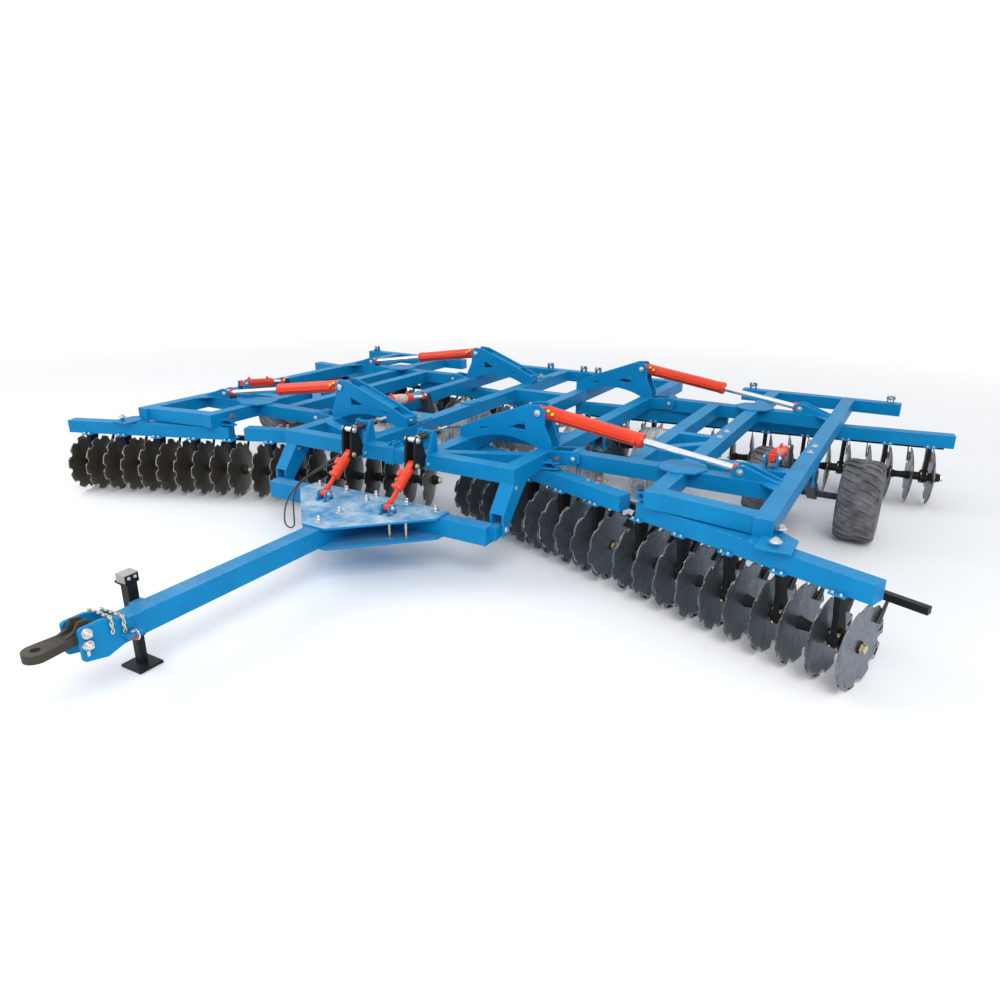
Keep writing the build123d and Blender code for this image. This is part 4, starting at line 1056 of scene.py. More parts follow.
@dataclass
class Wheels:
    """Treaded tyres on the wings, film-wrapped ones under the centre, and the rims' nuts and caps."""

    shop: Workshop
    radius: float = 0.436
    half_width: float = 0.202
    bead: float = 0.1975
    offset: float = 0.470
    lugs: int = 26

    def carcass(self, name: str, crown: float) -> bpy.types.Object:
        """Return a tyre body about Z, bead to bead, with its inside closed.

        Args:
            name: Name of the new piece.
            crown: Radius at the middle of the tread.

        Returns:
            The body.
        """
        half, tread = self.half_width, crown
        profile = (
            (-0.142, self.bead),
            (-0.150, self.bead + 0.012),
            (-half * 0.93, self.bead + 0.045),
            (-half, self.bead + 0.105),
            (-half * 0.985, tread - 0.070),
            (-half * 0.93, tread - 0.030),
            (-half * 0.84, tread - 0.012),
            (-half * 0.45, tread - 0.003),
        )
        mirrored = tuple((-height, radius) for height, radius in reversed(profile))
        body = turned(name, profile + ((0.0, tread),) + mirrored, 72)
        with editing(body):
            pick(
                body,
                lambda co: abs(abs(co.z) - 0.142) < 0.001 and math.hypot(co.x, co.y) < self.bead + 0.002,
            )
            bpy.ops.mesh.delete(type="ONLY_FACE")
        with editing(body):
            pick(body, lambda co: abs(abs(co.z) - 0.142) < 0.001)
            bpy.ops.mesh.bridge_edge_loops()
            bpy.ops.mesh.select_all(action="SELECT")
            bpy.ops.mesh.normals_make_consistent(inside=False)
        return smooth(body, 50)

    def lug(self) -> bpy.types.Object:
        """Return one curved lug, from the shoulder to the middle of the tread."""
        bpy.ops.object.select_all(action="DESELECT")
        bpy.ops.mesh.primitive_cube_add(size=1, location=(0.5, 0, 0))
        lug = bpy.context.object
        bpy.ops.object.transform_apply(location=True)
        with editing(lug):
            bpy.ops.mesh.select_all(action="SELECT")
            bpy.ops.mesh.subdivide(number_cuts=4)
        for vertex in lug.data.vertices:
            along, across, rise = vertex.co
            reach = 0.012 + along * (self.half_width * 0.965 - 0.012)
            width = 0.030 + 0.010 * along
            turn = (across * width + 0.085 * along**1.6) / self.radius
            drop = 0.034 * max(0.0, along - 0.72) / 0.28
            height = self.radius - 0.0155 - drop + (rise + 0.5) * 0.014 - (0.004 if along > 0.9 else 0)
            vertex.co = (height * math.cos(turn), height * math.sin(turn), reach)
        lug.name = "lug_master"
        return smooth(lug, 35)

    def treaded(self) -> bpy.types.Object:
        """Return a wing tyre about Z."""
        body = self.carcass("tread_tyre", self.radius - 0.014)
        lug = self.lug()
        pieces = [body]
        flip = Matrix.Rotation(math.pi, 4, "X")
        for number in range(self.lugs):
            turn = math.tau * number / self.lugs
            pieces.append(placed(lug, Matrix.Rotation(turn, 4, "Z")))
            pieces.append(placed(lug, Matrix.Rotation(turn + math.pi / self.lugs, 4, "Z") @ flip))
        discard(lug)
        return joined("tread_tyre", pieces)

    def wrapped(self) -> bpy.types.Object:
        """Return a tyre about Z under film that bridges its tread."""
        body = self.carcass("wrapped_tyre", self.radius - 0.002)
        for vertex in body.data.vertices:
            turn = math.atan2(vertex.co.y, vertex.co.x)
            reach = math.hypot(vertex.co.x, vertex.co.y)
            if reach > self.bead + 0.04:
                sag = 0.0035 * (1 + math.sin(26 * turn + 9 * vertex.co.z) * math.cos(7 * turn))
                vertex.co.x *= 1 - sag / reach
                vertex.co.y *= 1 - sag / reach
        return body

    def hub_cap(self) -> bpy.types.Object:
        """Return the cap over an axle's end, out along Z from the wheel's middle."""
        flange = ((0.066, 0.048), (0.072, 0.062), (0.078, 0.062), (0.080, 0.050))
        profile = flange + ((0.104, 0.046), (0.110, 0.030))
        return turned("cap_master", profile, 24)

    def wheel_nuts(self) -> bpy.types.Object:
        """Return the ring of eight nuts on a rim's disc, out along Z from the wheel's middle."""
        washer = ((0.010, 0.018), (0.013, 0.018))
        nut = turned("nut", washer + ((0.0132, 0.0145), (0.030, 0.0145), (0.033, 0.010)), 6)
        places = [
            Matrix.Rotation(math.tau * number / 8, 4, "Z") @ Matrix.Translation((0.102, 0, 0))
            for number in range(8)
        ]
        ring = repeated("nuts_master", nut, places)
        discard(nut)
        return ring

    def build(self) -> None:
        """Put a tyre on every rim, in place of the CAD's, and dress the rims."""
        tyres = {"centre": self.wrapped(), "wing": self.treaded()}
        cap, nuts = self.hub_cap(), self.wheel_nuts()
        finishes = {"centre": "film", "wing": "tyre"}
        for side in Side:
            for pair, arm_x, axle_y in (("centre", 1.350, 2.180), ("wing", 3.665, 1.980)):
                places, outer = [], []
                for step in (-1, 1):
                    x = side.value * arm_x + step * self.offset
                    centre = Matrix.Translation((x, axle_y, self.radius))
                    places.append(centre @ Matrix.Rotation(math.pi / 2, 4, "Y"))
                    outer.append(centre @ Matrix.Rotation(step * math.pi / 2, 4, "Y"))
                body = f"{pair}_wheels_{side.label}"
                label = side.label
                pieces = repeated(f"{pair}_tyre_pair_{label}", tyres[pair], places)
                self.shop.fit(pieces, finishes[pair], body, "tyre_rubber", (f"{pair}_tyres_{label}",))
                self.shop.fit(repeated(f"{pair}_hub_caps_{label}", cap, outer), "rim", body, "rim_paint")
                self.shop.fit(repeated(f"{pair}_wheel_nuts_{label}", nuts, outer), "zinc", body, "zinc")
        discard(cap, nuts, *tyres.values())


# Cylinders.


@dataclass(frozen=True)
class Ram:
    """One hydraulic cylinder on the left side: its pins, its barrel and its rod."""

    name: str
    base: Point
    eye: Point
    barrel: float
    radius: float
    rod: float

    @property
    def length(self) -> float:
        """Return the distance between the pins."""
        return (Vector(self.eye) - Vector(self.base)).length

    @property
    def place(self) -> Matrix:
        """Return the place at the base pin, with X to its upper side and Z along it."""
        along = (Vector(self.eye) - Vector(self.base)).normalized()
        top = (Vector((0, 0, 1)) - along * along.z).normalized()
        turn = Matrix((top, along.cross(top), along)).transposed().to_4x4()
        return Matrix.Translation(self.base) @ turn

    def on(self, side: Side) -> Matrix:
        """Return the place on one side; the levelling pair are alike, not mirrored."""
        if self.name == "level" and side is Side.RIGHT:
            return Matrix.Translation((-2 * self.base[0], 0, 0)) @ self.place
        return side.mirror @ self.place


FOLD_FRONT = Ram("fold_front", (1.270, 0.170, 1.410), (3.260, 0.170, 1.110), 1.080, 0.070, 0.034)
FOLD_REAR = Ram("fold_rear", (1.270, 3.120, 1.410), (3.260, 3.120, 1.110), 1.080, 0.070, 0.034)
CENTRE_LIFT = Ram("centre_lift", (1.120, 0.700, 1.150), (1.120, 1.520, 1.060), 0.500, 0.055, 0.025)
WING_LIFT = Ram("wing_lift", (3.435, 0.580, 1.150), (3.435, 1.320, 1.060), 0.500, 0.055, 0.025)
LEVEL = Ram("level", (0.390, -0.850, 0.975), (0.390, -1.240, 0.665), 0.290, 0.045, 0.022)
RAMS = (FOLD_FRONT, FOLD_REAR, CENTRE_LIFT, WING_LIFT, LEVEL)


@dataclass
class Hydraulics:
    """Glands, end rings, ports, pipes and caps on the cylinders."""

    shop: Workshop
    stub: Profile = ((0.0, 0.019), (0.012, 0.019), (0.014, 0.016), (0.026, 0.016), (0.028, 0.012))
    cap: Profile = ((0.024, 0.012), (0.026, 0.0165), (0.036, 0.0165), (0.040, 0.012))

    def gland(self, ram: Ram) -> list[bpy.types.Object]:
        """Return the gland at the rod's end and the ring at the foot.

        Args:
            ram: The cylinder, whose base pin is the origin and whose rod is along Z.

        Returns:
            Gland and foot ring.
        """
        r, end = ram.radius, ram.barrel
        ring = ((end - 0.055, r * 0.9), (end - 0.055, r * 1.03), (end - 0.050, r * 1.055))
        lip = ((end - 0.006, r * 1.055), (end + 0.002, r * 0.98), (end + 0.004, ram.rod * 1.5))
        wiper = ((end + 0.010, ram.rod * 1.35), (end + 0.010, ram.rod * 1.02))
        heel = ((0.058, r * 0.9), (0.058, r * 1.02), (0.063, r * 1.045))
        foot = heel + ((0.086, r * 1.045), (0.091, r * 1.01))
        return [turned("gland", ring + lip + wiper, 32), turned("foot", foot + ((0.091, r * 0.9),), 32)]

    def collar(self, ram: Ram) -> bpy.types.Object:
        """Return the painted collar behind the rod's eye."""
        end, r = ram.length, ram.rod
        steps = ((0.080, 1.01), (0.080, 1.38), (0.075, 1.46), (0.045, 1.5), (0.040, 1.01))
        return turned("collar", tuple((end - back, r * share) for back, share in steps), 24)

    def port(
        self, ram: Ram, along: float, turn: float, profile: Profile, sides: int = 12
    ) -> bpy.types.Object:
        """Return a stub on a barrel, at an angle in degrees from its upper side towards its front.

        Args:
            ram: The cylinder.
            along: Distance from its base pin.
            turn: The angle in degrees.
            profile: Height and radius of each step of the stub.
            sides: Number of its sides.

        Returns:
            The stub.
        """
        piece = turned("port", profile, sides)
        out = Matrix.Rotation(math.radians(turn), 4, "Z") @ Matrix.Translation((ram.radius * 0.97, 0, along))
        piece.data.transform(out @ Matrix.Rotation(math.pi / 2, 4, "Y"))
        return piece

    def pipe(self, ram: Ram, low: float, high: float, turn: float) -> list[bpy.types.Object]:
        """Return a thin pipe along a barrel, with a block at each end.

        Args:
            ram: The cylinder.
            low: Where it starts, from the base pin.
            high: Where it ends.
            turn: Angle in degrees from the barrel's upper side.

        Returns:
            The pipe and its two blocks.
        """
        reach = ram.radius + 0.016
        line = turned("pipe", ((low, 0.004), (low, 0.0065), (high, 0.0065), (high, 0.004)), 10)
        line.data.transform(Matrix.Translation((reach, 0, 0)))
        ends = [
            block("pipe_block", (0.030, 0.026, 0.034), (ram.radius + 0.011, 0, along), 0.003)
            for along in (low, high)
        ]
        for piece in (line, *ends):
            piece.data.transform(Matrix.Rotation(math.radians(turn), 4, "Z"))
        return [line, *ends]

    def fittings(self, ram: Ram) -> tuple[list[bpy.types.Object], list[bpy.types.Object]]:
        """Return a cylinder's painted ports and pipes, and its plastic caps.

        Args:
            ram: The cylinder.

        Returns:
            The painted pieces, and the caps, which only the fold cylinders have.
        """
        if ram.name.startswith("fold"):
            stubs = [(0.105, 62), (0.155, 74)]
            ports = [self.port(ram, along, turn, self.stub) for along, turn in stubs]
            caps = [self.port(ram, along, turn, self.cap, 16) for along, turn in stubs]
            return ports + self.pipe(ram, 0.200, ram.barrel - 0.075, 98), caps
        if ram.name == "level":
            reach = ram.radius + 0.018
            tie = turned("tie", ((0.090, 0.008), (0.092, 0.011), (0.268, 0.011), (0.270, 0.008)), 12)
            tie.data.transform(Matrix.Translation((0, reach, 0)))
            blocks = [
                block("port_block", size, (0, reach + out, along), 0.004)
                for size, out, along in (
                    ((0.050, 0.056, 0.070), 0.002, 0.110),
                    ((0.036, 0.040, 0.034), -0.002, 0.190),
                    ((0.048, 0.040, 0.030), -0.006, 0.262),
                )
            ]
            return [tie, *blocks], []
        return [self.port(ram, along, 0, self.stub) for along in (0.095, ram.barrel - 0.080)], []

    def build(self) -> None:
        """Dress every cylinder on both sides."""
        for ram in RAMS:
            ports, caps = self.fittings(ram)
            rings = joined("rings_master", self.gland(ram) + ports)
            collar = self.collar(ram)
            masters = [rings, collar]
            if caps:
                masters.append(joined("caps_master", caps))
            for side in Side:
                place = ram.on(side)
                barrel = f"{ram.name}_barrel_{side.label}"
                rod = f"{ram.name}_rod_{side.label}"
                ringed = repeated(f"{ram.name}_rings_{side.label}", rings, [place])
                self.shop.fit(ringed, "cylinder", barrel, "cylinder_orange")
                collared = repeated(f"{ram.name}_collar_{side.label}", collar, [place])
                self.shop.fit(collared, "cylinder", rod, "cylinder_orange")
                if caps:
                    capped = repeated(f"{ram.name}_caps_{side.label}", masters[-1], [place])
                    self.shop.fit(capped, "yellow_cap", barrel, "cylinder_orange")
            discard(*masters)
        self.wrap(CENTRE_LIFT)

    def wrap(self, ram: Ram) -> None:
        """Wrap a cylinder's barrel in loose film, as it was shipped.

        Args:
            ram: The cylinder.
        """
        r = ram.radius
        steps = ((0.115, 1.06), (0.130, 1.13), (0.190, 1.10), (0.250, 1.16), (0.320, 1.11), (0.370, 1.05))
        film = turned("film_master", tuple((along, r * share) for along, share in steps), 40)
        for vertex in film.data.vertices:
            turn = math.atan2(vertex.co.y, vertex.co.x)
            grow = 1 + 0.018 * math.sin(9 * turn + 40 * vertex.co.z)
            vertex.co.x *= grow
            vertex.co.y *= grow
        for side in Side:
            piece = repeated(f"{ram.name}_film_{side.label}", film, [ram.on(side)])
            self.shop.fit(piece, "red_film", f"{ram.name}_barrel_{side.label}", "cylinder_orange")
        discard(film)


# Springs and small fittings.


@dataclass
class CushionSprings:
    """The rods, springs and nuts above the front beam."""

    shop: Workshop
    x: float = 0.390
    z: float = 1.220
    start: float = -0.791
    end: float = -0.236
    thread_radius: float = 0.0155
    wire: float = 0.0062
    turns: int = 5
    coil_radius: float = 0.0300
    # Y of each spring's ends and of each nut's ends.
    spring_spans: Profile = ((-0.733, -0.594), (-0.560, -0.397))
    nut_spans: Profile = ((-0.772, -0.735), (-0.395, -0.357))
    nut_radius: float = 0.0305
    # Y of the crank's sleeve, half its length and its radius.
    sleeve: Point = (-0.820, 0.039, 0.0275)

    def build(self) -> None:
        """Build both sides' springs in place of the CAD's."""
        rods, springs, nuts = [], [], []
        for side in Side:
            x = side.value * self.x
            place = aimed((x, self.start, self.z), (x, self.end, self.z))
            length = self.end - self.start
            tip = self.thread_radius
            thread = turned("rod", ((0.0, tip), (length - 0.004, tip), (length, 0.012)), 20)
            thread.data.transform(place)
            rods.append(thread)
            for low, high in self.spring_spans:
                pitch = (high - low - 2 * self.wire) / self.turns
                spring = coil("spring", self.coil_radius, self.wire, pitch, self.turns)
                spring.data.transform(aimed((x, low + self.wire, self.z), (x, high, self.z)))
                springs.append(spring)
            for low, high in self.nut_spans:
                rise, flats = high - low, self.nut_radius
                nut = turned("nut", ((0, 0.017), (0, flats), (rise - 0.004, flats), (rise, 0.024)), 6)
                nut.data.transform(aimed((x, low, self.z), (x, high, self.z)))
                nuts.append(nut)
            y, half, radius = self.sleeve
            eye = turned("eye", ((-half, radius), (half, radius)), 24)
            eye.data.transform(aimed((x, y, self.z), (x + 1, y, self.z)))
            rods.append(eye)
        self.shop.fit(joined("spring_rods", rods), "zinc", "root", "zinc", ("cushion_springs",))
        self.shop.fit(joined("spring_coils", springs), "spring", "root", "hanger_black")
        self.shop.fit(joined("spring_nuts", nuts), "yellow_zinc", "root", "zinc")


@dataclass(frozen=True)
class FixingSet:
    """Like fixings on one body: their shape, finish, size, and places and ways on the left."""

    name: str
    body: str
    shape: str
    finish: str
    radius: float
    height: float
    places: tuple[tuple[Point, Way], ...]
    mirrored: bool = True


def ups(height: float, *spots: tuple[float, float]) -> tuple[tuple[Point, Way], ...]:
    """Return places at one height that all point up."""
    return tuple(((x, y, height), Way.UP) for x, y in spots)


def through(axis: str, middle: Point, half: float) -> tuple[tuple[Point, Way], ...]:
    """Return both ends of a pin that runs along X or Y through a point."""
    x, y, z = middle
    if axis == "X":
        return (((x + half, y, z), Way.OUT), ((x - half, y, z), Way.IN))
    return (((x, y - half, z), Way.FRONT), ((x, y + half, z), Way.BACK))


FIXINGS = (
    FixingSet(
        "gusset_nuts", "drawbar", "stud", "zinc", 0.027, 0.026,
        ups(0.601, (0.377, -0.925), (0.724, -0.940)),
    ),
    FixingSet(
        "gusset_middle_nuts", "drawbar", "stud", "zinc", 0.027, 0.026,
        ups(0.601, (-0.020, -0.900), (-0.020, -1.050), (-0.020, -1.446), (-0.020, -1.724)),
        mirrored=False,
    ),
    FixingSet(
        "level_foot_pins", "drawbar", "pin", "zinc", 0.027, 0.016,
        through("X", (0.390, -1.240, 0.665), 0.057),
    ),
    FixingSet(
        "crank_top_pins", "root", "pin", "zinc", 0.032, 0.016, through("X", (0.390, -0.820, 1.220), 0.065)
    ),
    FixingSet(
        "crank_low_pins", "root", "pin", "yellow_zinc", 0.028, 0.018,
        through("X", (0.390, -0.850, 0.975), 0.065),
    ),
    FixingSet(
        "wedge_bolts", "root", "hexagon", "zinc", 0.017, 0.014, through("X", (0.390, -0.700, 0.960), 0.091)
    ),
    FixingSet(
        "fold_base_pins", "root", "pin", "zinc", 0.034, 0.014,
        through("Y", (1.270, 0.170, 1.410), 0.112) + through("Y", (1.270, 3.120, 1.410), 0.112),
    ),
    FixingSet(
        "hinge_pins", "root", "pin", "zinc", 0.024, 0.010,
        through("Y", (1.670, 0.170, 1.000), 0.118) + through("Y", (1.670, 3.120, 1.000), 0.118),
    ),
    FixingSet(
        "fold_rod_pins", "wing", "pin", "zinc", 0.031, 0.014,
        through("Y", (3.260, 0.170, 1.110), 0.073) + through("Y", (3.260, 3.120, 1.110), 0.073),
    ),
    FixingSet(
        "centre_lift_pins", "root", "pin", "zinc", 0.028, 0.014, through("X", (1.120, 0.700, 1.150), 0.061)
    ),
    FixingSet(
        "wing_lift_pins", "wing", "pin", "zinc", 0.028, 0.014, through("X", (3.435, 0.580, 1.150), 0.061)
    ),
    FixingSet(
        "drawbar_pins", "root", "pin", "zinc", 0.034, 0.014, through("X", (1.350, -0.820, 0.510), 0.075)
    ),
    FixingSet(
        "leg_bolts", "root", "hexagon", "zinc", 0.018, 0.014, through("X", (1.350, -0.640, 0.860), 0.075)
    ),
    FixingSet(
        "pad_bolts", "root", "stack", "yellow_zinc", 0.020, 0.026,
        ups(1.066, *((0.500, y) for y in (0.380, 0.520, 1.450, 1.590, 3.480, 3.620))),
    ),
    FixingSet(
        "side_swivel_caps", "root", "cap", "grey_cap", 0.034, 0.020, ups(1.002, (1.537, -0.025))
    ),
    FixingSet(
        "mid_swivel_bolts", "wing", "stack", "grey_cap", 0.030, 0.030, ups(1.002, (2.543, -0.430))
    ),
    FixingSet(
        "outer_swivel_bolts", "wing", "stack", "zinc", 0.032, 0.030,
        ups(0.962, (3.800, -1.000), (3.780, -0.710)),
    ),
    FixingSet(
        "beam_top_bolts", "wing", "stack", "zinc", 0.022, 0.022,
        ups(1.050, (2.738, 1.735), (2.733, 1.465), (3.665, 1.590), (3.660, 1.330)),
    ),
    FixingSet(
        "gang_beam_bolts", "root", "hexagon", "pink_cap", 0.017, 0.016,
        ups(0.887, (2.010, -0.070), (2.045, -0.190)),
    ),
    FixingSet(
        "gang_beam_brass", "root", "hexagon", "yellow_zinc", 0.018, 0.014,
        ups(0.887, (1.935, -0.145), (2.090, -0.105)),
    ),
    FixingSet(
        "clevis_bolts", "root", "hexagon", "yellow_zinc", 0.018, 0.014,
        through("Y", (0.120, 4.325, 1.110), 0.044) + through("Y", (0.690, 4.325, 1.110), 0.044),
    ),
    FixingSet(
        "wing_clevis_bolts", "wing", "hexagon", "yellow_zinc", 0.018, 0.014,
        through("Y", (2.440, 4.325, 1.110), 0.044) + through("Y", (4.160, 4.325, 1.110), 0.044),
    ),
    FixingSet(
        "hitch_pins", "drawbar", "pin", "zinc", 0.036, 0.042,
        (((0.104, -4.046, 0.622), Way.OUT), ((0.104, -4.049, 0.540), Way.OUT)),
    ),
    FixingSet(
        "level_ear_bolts", "drawbar", "hexagon", "pink_cap", 0.012, 0.012,
        through("X", (0.390, -1.262, 0.622), 0.057),
    ),
    FixingSet(
        "jack_bolts", "drawbar", "hexagon", "zinc", 0.010, 0.010,
        (((-0.160, -3.475, 0.736), Way.OUT), ((-0.160, -3.525, 0.736), Way.OUT)),
        mirrored=False,
    ),
)


@dataclass
class Fixings:
    """Bolts with washers, nuts on studs, pin heads and caps, by a table of sets."""

    shop: Workshop

    @staticmethod
    def hexagon(radius: float, height: float) -> bpy.types.Object:
        """Return a hexagon head on its washer, standing on the XY plane."""
        rim = radius * 1.35
        washer = turned("washer", ((-0.001, rim), (0.0028, rim), (0.0032, radius * 1.3)), 20)
        head = turned("head", ((0.0031, radius), (height * 0.85, radius), (height, radius * 0.86)), 6)
        return joined("hexagon_master", [washer, head])

    @staticmethod
    def stack(radius: float, height: float) -> bpy.types.Object:
        """Return a nut on two washers, with the bolt's end through it.

        Args:
            radius: Radius over the nut's corners.
            height: Height of the nut.

        Returns:
            The fixing, standing on the XY plane.
        """
        wide, r, top = radius * 1.5, radius, height * 0.8
        washers = turned("washers", ((-0.001, wide), (0.004, wide), (0.005, r * 1.3), (0.009, r * 1.25)), 20)
        nut = turned("nut", ((0.0088, r), (top * 0.92, r), (top, r * 0.85)), 6)
        thread = r * 0.55
        end = turned("end", ((top - 0.002, thread), (height * 1.1, thread), (height * 1.15, r * 0.45)), 14)
        return joined("stack_master", [washers, nut, end])

    @staticmethod
    def stud(radius: float, height: float) -> bpy.types.Object:
        """Return a big nut on a wide washer, with a domed stud standing out of it.

        Args:
            radius: Radius over the nut's corners.
            height: Height of the nut.

        Returns:
            The fixing, standing on the XY plane.
        """
        wide, r = radius * 1.35, radius
        washer = turned("washer", ((-0.001, wide), (0.005, wide), (0.006, wide * 0.96)), 24)
        flats = ((0.0058, r * 0.97), (0.008, r), (height + 0.002, r))
        nut = turned("nut", flats + ((height + 0.006, r * 0.86),), 6)
        low, high = height + 0.004, height + 0.030
        end = turned("end", ((low, r * 0.6), (high, r * 0.6), (high + 0.004, r * 0.48)), 16)
        return joined("stud_master", [washer, nut, end])

    @staticmethod
    def pin(radius: float, height: float) -> bpy.types.Object:
        """Return a pin's end, with its collar and the bolt that keeps it."""
        r = radius
        head = ((-0.001, r), (height * 0.45, r), (height * 0.6, r * 0.94), (height * 0.62, r * 0.7))
        end = turned("pin_end", head + ((height, r * 0.68), (height * 1.08, r * 0.6)), 24)
        keeper = turned("keeper", ((height, r * 0.34), (height * 1.5, r * 0.34), (height * 1.6, r * 0.28)), 6)
        return joined("pin_master", [end, keeper])

    @staticmethod
    def domed(radius: float, height: float) -> bpy.types.Object:
        """Return a domed cap."""
        r, h = radius, height
        collar = ((-0.001, r * 1.15), (h * 0.18, r * 1.15))
        profile = collar + ((h * 0.22, r), (h * 0.75, r * 0.97), (h, r * 0.7))
        return turned("cap_master", profile, 28)

    def build(self) -> None:
        """Place the fixings of both sides."""
        shapes = {
            "hexagon": self.hexagon,
            "stack": self.stack,
            "stud": self.stud,
            "pin": self.pin,
            "cap": self.domed,
        }
        for fixing in FIXINGS:
            master = shapes[fixing.shape](fixing.radius, fixing.height)
            for side in Side if fixing.mirrored else (Side.LEFT,):
                body = f"wing_{side.label}" if fixing.body == "wing" else fixing.body
                places = [
                    side.mirror @ aimed(place, Vector(place) + Vector(way.value))
                    for place, way in fixing.places
                ]
                piece = repeated(f"{fixing.name}_{side.label}", master, places)
                self.shop.fit(piece, fixing.finish, body, "zinc")
            discard(master)


@dataclass
class Trimmings:
    """One-off fittings: splice lugs, stud sleeves, hook ring, latch, jack cap and pin tab."""

    shop: Workshop
    lug_spots: Profile = ((-0.030, -0.640), (0.030, -0.640), (-0.030, -0.575), (0.030, -0.575))
    lug_z: float = 1.074
    # X and Y of the studs on the left, and the Z span and radius of their sleeves.
    stud_spots: Profile = ((0.470, -1.330), (0.600, -1.250))
    stud_span: tuple[float, float] = (0.4072, 0.5808)
    stud_radius: float = 0.0142
    # Middle of the half-round lug's top, and the ring that hangs on it.
    hook_place: Point = (0.135, -3.745, 0.494)
    ring_radius: float = 0.036
    ring_wire: float = 0.0055

    def splice_lugs(self) -> bpy.types.Object:
        """Return the four lugs on the splice block."""
        size = (0.020, 0.050, 0.050)
        lugs = [block("lug", size, (x, y, self.lug_z), 0.004) for x, y in self.lug_spots]
        return joined("splice_lugs", lugs)

    def stud_sleeves(self) -> bpy.types.Object:
        """Return the plated sleeves of the studs between the gusset plates."""
        master = turned("sleeve_master", tuple((z, self.stud_radius) for z in self.stud_span), 20)
        places = [
            Matrix.Translation((sign * x, y, 0))
            for x, y in self.stud_spots
            for sign in (1, -1)
        ]
        sleeves = repeated("stud_sleeves", master, places)
        discard(master)
        return sleeves

    def hook(self) -> tuple[bpy.types.Object, bpy.types.Object]:
        """Return the ring hook with its pin on the half-round lug, and the red latch under it."""
        x, y, top = self.hook_place
        shank = ((-0.046, 0.011), (0.004, 0.011))
        pin = turned("pin", shank + ((0.006, 0.022), (0.014, 0.022), (0.018, 0.015)), 20)
        pin.data.transform(Matrix.Translation((x, y, top)))
        bpy.ops.object.select_all(action="DESELECT")
        bpy.ops.mesh.primitive_torus_add(
            major_radius=self.ring_radius, minor_radius=self.ring_wire, major_segments=32, minor_segments=10
        )
        ring = smooth(bpy.context.object)
        upright = Matrix.Rotation(math.pi / 2, 4, "X")
        ring.data.transform(Matrix.Translation((x + 0.038, y, top - 0.006)) @ upright)
        band = turned("latch", ((-0.048, 0.022), (-0.046, 0.032), (-0.026, 0.032), (-0.024, 0.022)), 24)
        band.name = "latch_band"
        band.data.transform(Matrix.Translation((x, y, top)))
        return joined("hook_ring", [pin, ring]), band

    def build(self) -> None:
        """Make and place them."""
        fit = self.shop.fit
        fit(self.splice_lugs(), "frame", "root", "frame_blue")
        fit(self.stud_sleeves(), "yellow_zinc", "drawbar", "zinc")
        hook, band = self.hook()
        fit(hook, "zinc", "drawbar", "zinc")
        fit(band, "red_cap", "drawbar", "zinc")
        top = block("jack_top", (0.1000, 0.1180, 0.0100), (-0.210, -3.502, 0.7640), 0.003)
        face = block("jack_face", (0.0980, 0.0060, 0.0560), (-0.210, -3.558, 0.7315), 0.002)
        fit(joined("jack_cap", [top, face]), "jack_cap", "drawbar", "jack_black")
        tab = block("pin_tab", (0.005, 0.020, 0.040), (0.136, -4.066, 0.492), 0.002)
        fit(tab, "zinc", "drawbar", "zinc")


# Studio.


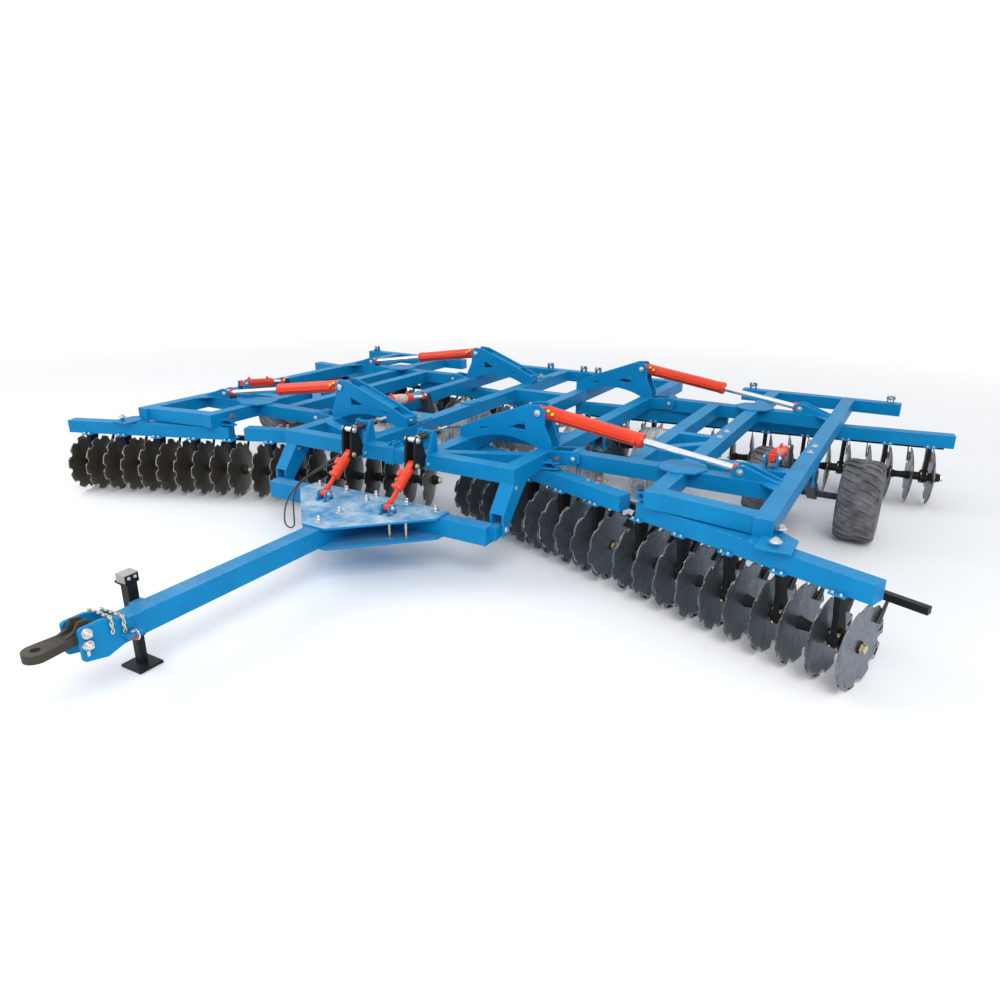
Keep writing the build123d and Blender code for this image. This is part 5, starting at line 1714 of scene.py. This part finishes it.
@dataclass
class Studio:
    """The camera, the pale floor and the soft lamps."""

    place: Point = (4.614, -6.484, 3.110)
    azimuth: float = 29.90
    elevation: float = 19.57
    roll: float = 0.324
    lens: float = 27.34
    # Distances from the middle at which the floor starts to fade and has faded to white.
    fade: tuple[float, float] = (7.0, 16.0)
    sky: Colour = (0.92, 0.95, 1.0)
    sky_strength: float = 0.80

    def camera(self) -> None:
        """Set the camera where the photographer stood."""
        az, el, roll = (math.radians(angle) for angle in (self.azimuth, self.elevation, self.roll))
        ahead = Vector((-math.sin(az) * math.cos(el), math.cos(az) * math.cos(el), -math.sin(el)))
        right = Vector((math.cos(az), math.sin(az), 0))
        up = right.cross(ahead)
        turned_right = right * math.cos(roll) + up * math.sin(roll)
        turned_up = up * math.cos(roll) - right * math.sin(roll)
        turn = Matrix((turned_right, turned_up, -ahead)).transposed().to_4x4()
        data = bpy.data.cameras.new("photo_camera")
        data.lens = self.lens
        data.sensor_width = 36
        data.clip_end = 200
        camera = bpy.data.objects.new("photo_camera", data)
        camera.matrix_world = Matrix.Translation(self.place) @ turn
        bpy.context.scene.collection.objects.link(camera)
        bpy.context.scene.camera = camera

    @staticmethod
    def seen(tree: bpy.types.NodeTree) -> Socket:
        """Return 1 for rays that show the background: the camera's, mirrored and clear ones.

        Args:
            tree: Node tree that gets the nodes.

        Returns:
            The share, 0 or 1.
        """
        path = tree.nodes.new("ShaderNodeLightPath")
        share = path.outputs["Is Camera Ray"]
        for name in ("Is Glossy Ray", "Is Transmission Ray"):
            larger = tree.nodes.new("ShaderNodeMath")
            larger.operation = "MAXIMUM"
            tree.links.new(share, larger.inputs[0])
            tree.links.new(path.outputs[name], larger.inputs[1])
            share = larger.outputs[0]
        return share

    def floor(self) -> None:
        """Lay a pale floor that keeps the shadow and fades to white with distance."""
        bpy.ops.object.select_all(action="DESELECT")
        bpy.ops.mesh.primitive_plane_add(size=160, location=(0, 0, 0))
        floor = bpy.context.object
        floor.name = "floor"
        graph = Graph("pale_floor")
        shade = graph.ramp(graph.noise(0.8, 3), 0.3, 0.7)
        colour = graph.mix(shade, (0.97, 0.97, 0.965), (0.95, 0.95, 0.95))
        material = graph.give(Base_Color=colour, Roughness=0.9, Specular_IOR_Level=0.1)
        reach = graph.node("ShaderNodeVectorMath", {0: graph.place}, operation="LENGTH").outputs["Value"]
        faded = graph.ramp(reach, *self.fade)
        white = graph.node("ShaderNodeEmission", {"Color": (1, 1, 1, 1), "Strength": 1.0})
        share = graph.times(faded, self.seen(graph.tree))
        inputs = {0: share, 1: graph.shader.outputs[0], 2: white.outputs[0]}
        mixed = graph.node("ShaderNodeMixShader", inputs)
        graph.tree.links.new(mixed.outputs[0], graph.tree.nodes["Material Output"].inputs["Surface"])
        floor.data.materials.append(material)

    def world(self) -> None:
        """Light with a pale sky behind a white backdrop."""
        world = bpy.data.worlds.new("pale_sky")
        world.use_nodes = True
        tree = world.node_tree
        sky = tree.nodes["Background"]
        sky.inputs[0].default_value = (*self.sky, 1)
        sky.inputs[1].default_value = self.sky_strength
        white = tree.nodes.new("ShaderNodeBackground")
        white.inputs[0].default_value = (1, 1, 1, 1)
        mixed = tree.nodes.new("ShaderNodeMixShader")
        tree.links.new(self.seen(tree), mixed.inputs[0])
        tree.links.new(sky.outputs[0], mixed.inputs[1])
        tree.links.new(white.outputs[0], mixed.inputs[2])
        tree.links.new(mixed.outputs[0], tree.nodes["World Output"].inputs["Surface"])
        bpy.context.scene.world = world

    def lamps(self) -> None:
        """Hang two soft lamps."""
        for name, place, size, power in (
            ("key_lamp", (7.0, -9.0, 11.0), 7.0, 950.0),
            ("fill_lamp", (-10.0, -4.0, 9.0), 8.0, 450.0),
        ):
            data = bpy.data.lights.new(name, "AREA")
            data.energy = power
            data.size = size
            lamp = bpy.data.objects.new(name, data)
            lamp.matrix_world = aimed(place, (0, 0, 0.6)) @ Matrix.Rotation(math.pi, 4, "X")
            bpy.context.scene.collection.objects.link(lamp)

    def build(self) -> None:
        """Set up the floor, world and lamps."""
        bpy.context.scene.view_settings.view_transform = "Standard"
        self.floor()
        self.world()
        self.lamps()


def main() -> None:
    """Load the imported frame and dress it."""
    logging.basicConfig(level=logging.INFO, format="%(name)s: %(message)s")
    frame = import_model()
    bpy.ops.object.select_all(action="DESELECT")
    shop = Workshop(frame, Paintshop())
    studio = Studio()
    studio.camera()
    Hoses(shop).build()
    shop.paint_nodes(NODE_FINISHES)
    Gangs(shop).build()
    GangClamps(shop).build()
    Wheels(shop).build()
    Hydraulics(shop).build()
    CushionSprings(shop).build()
    Fixings(shop).build()
    Trimmings(shop).build()
    studio.build()


if __name__ == "__main__":
    main()
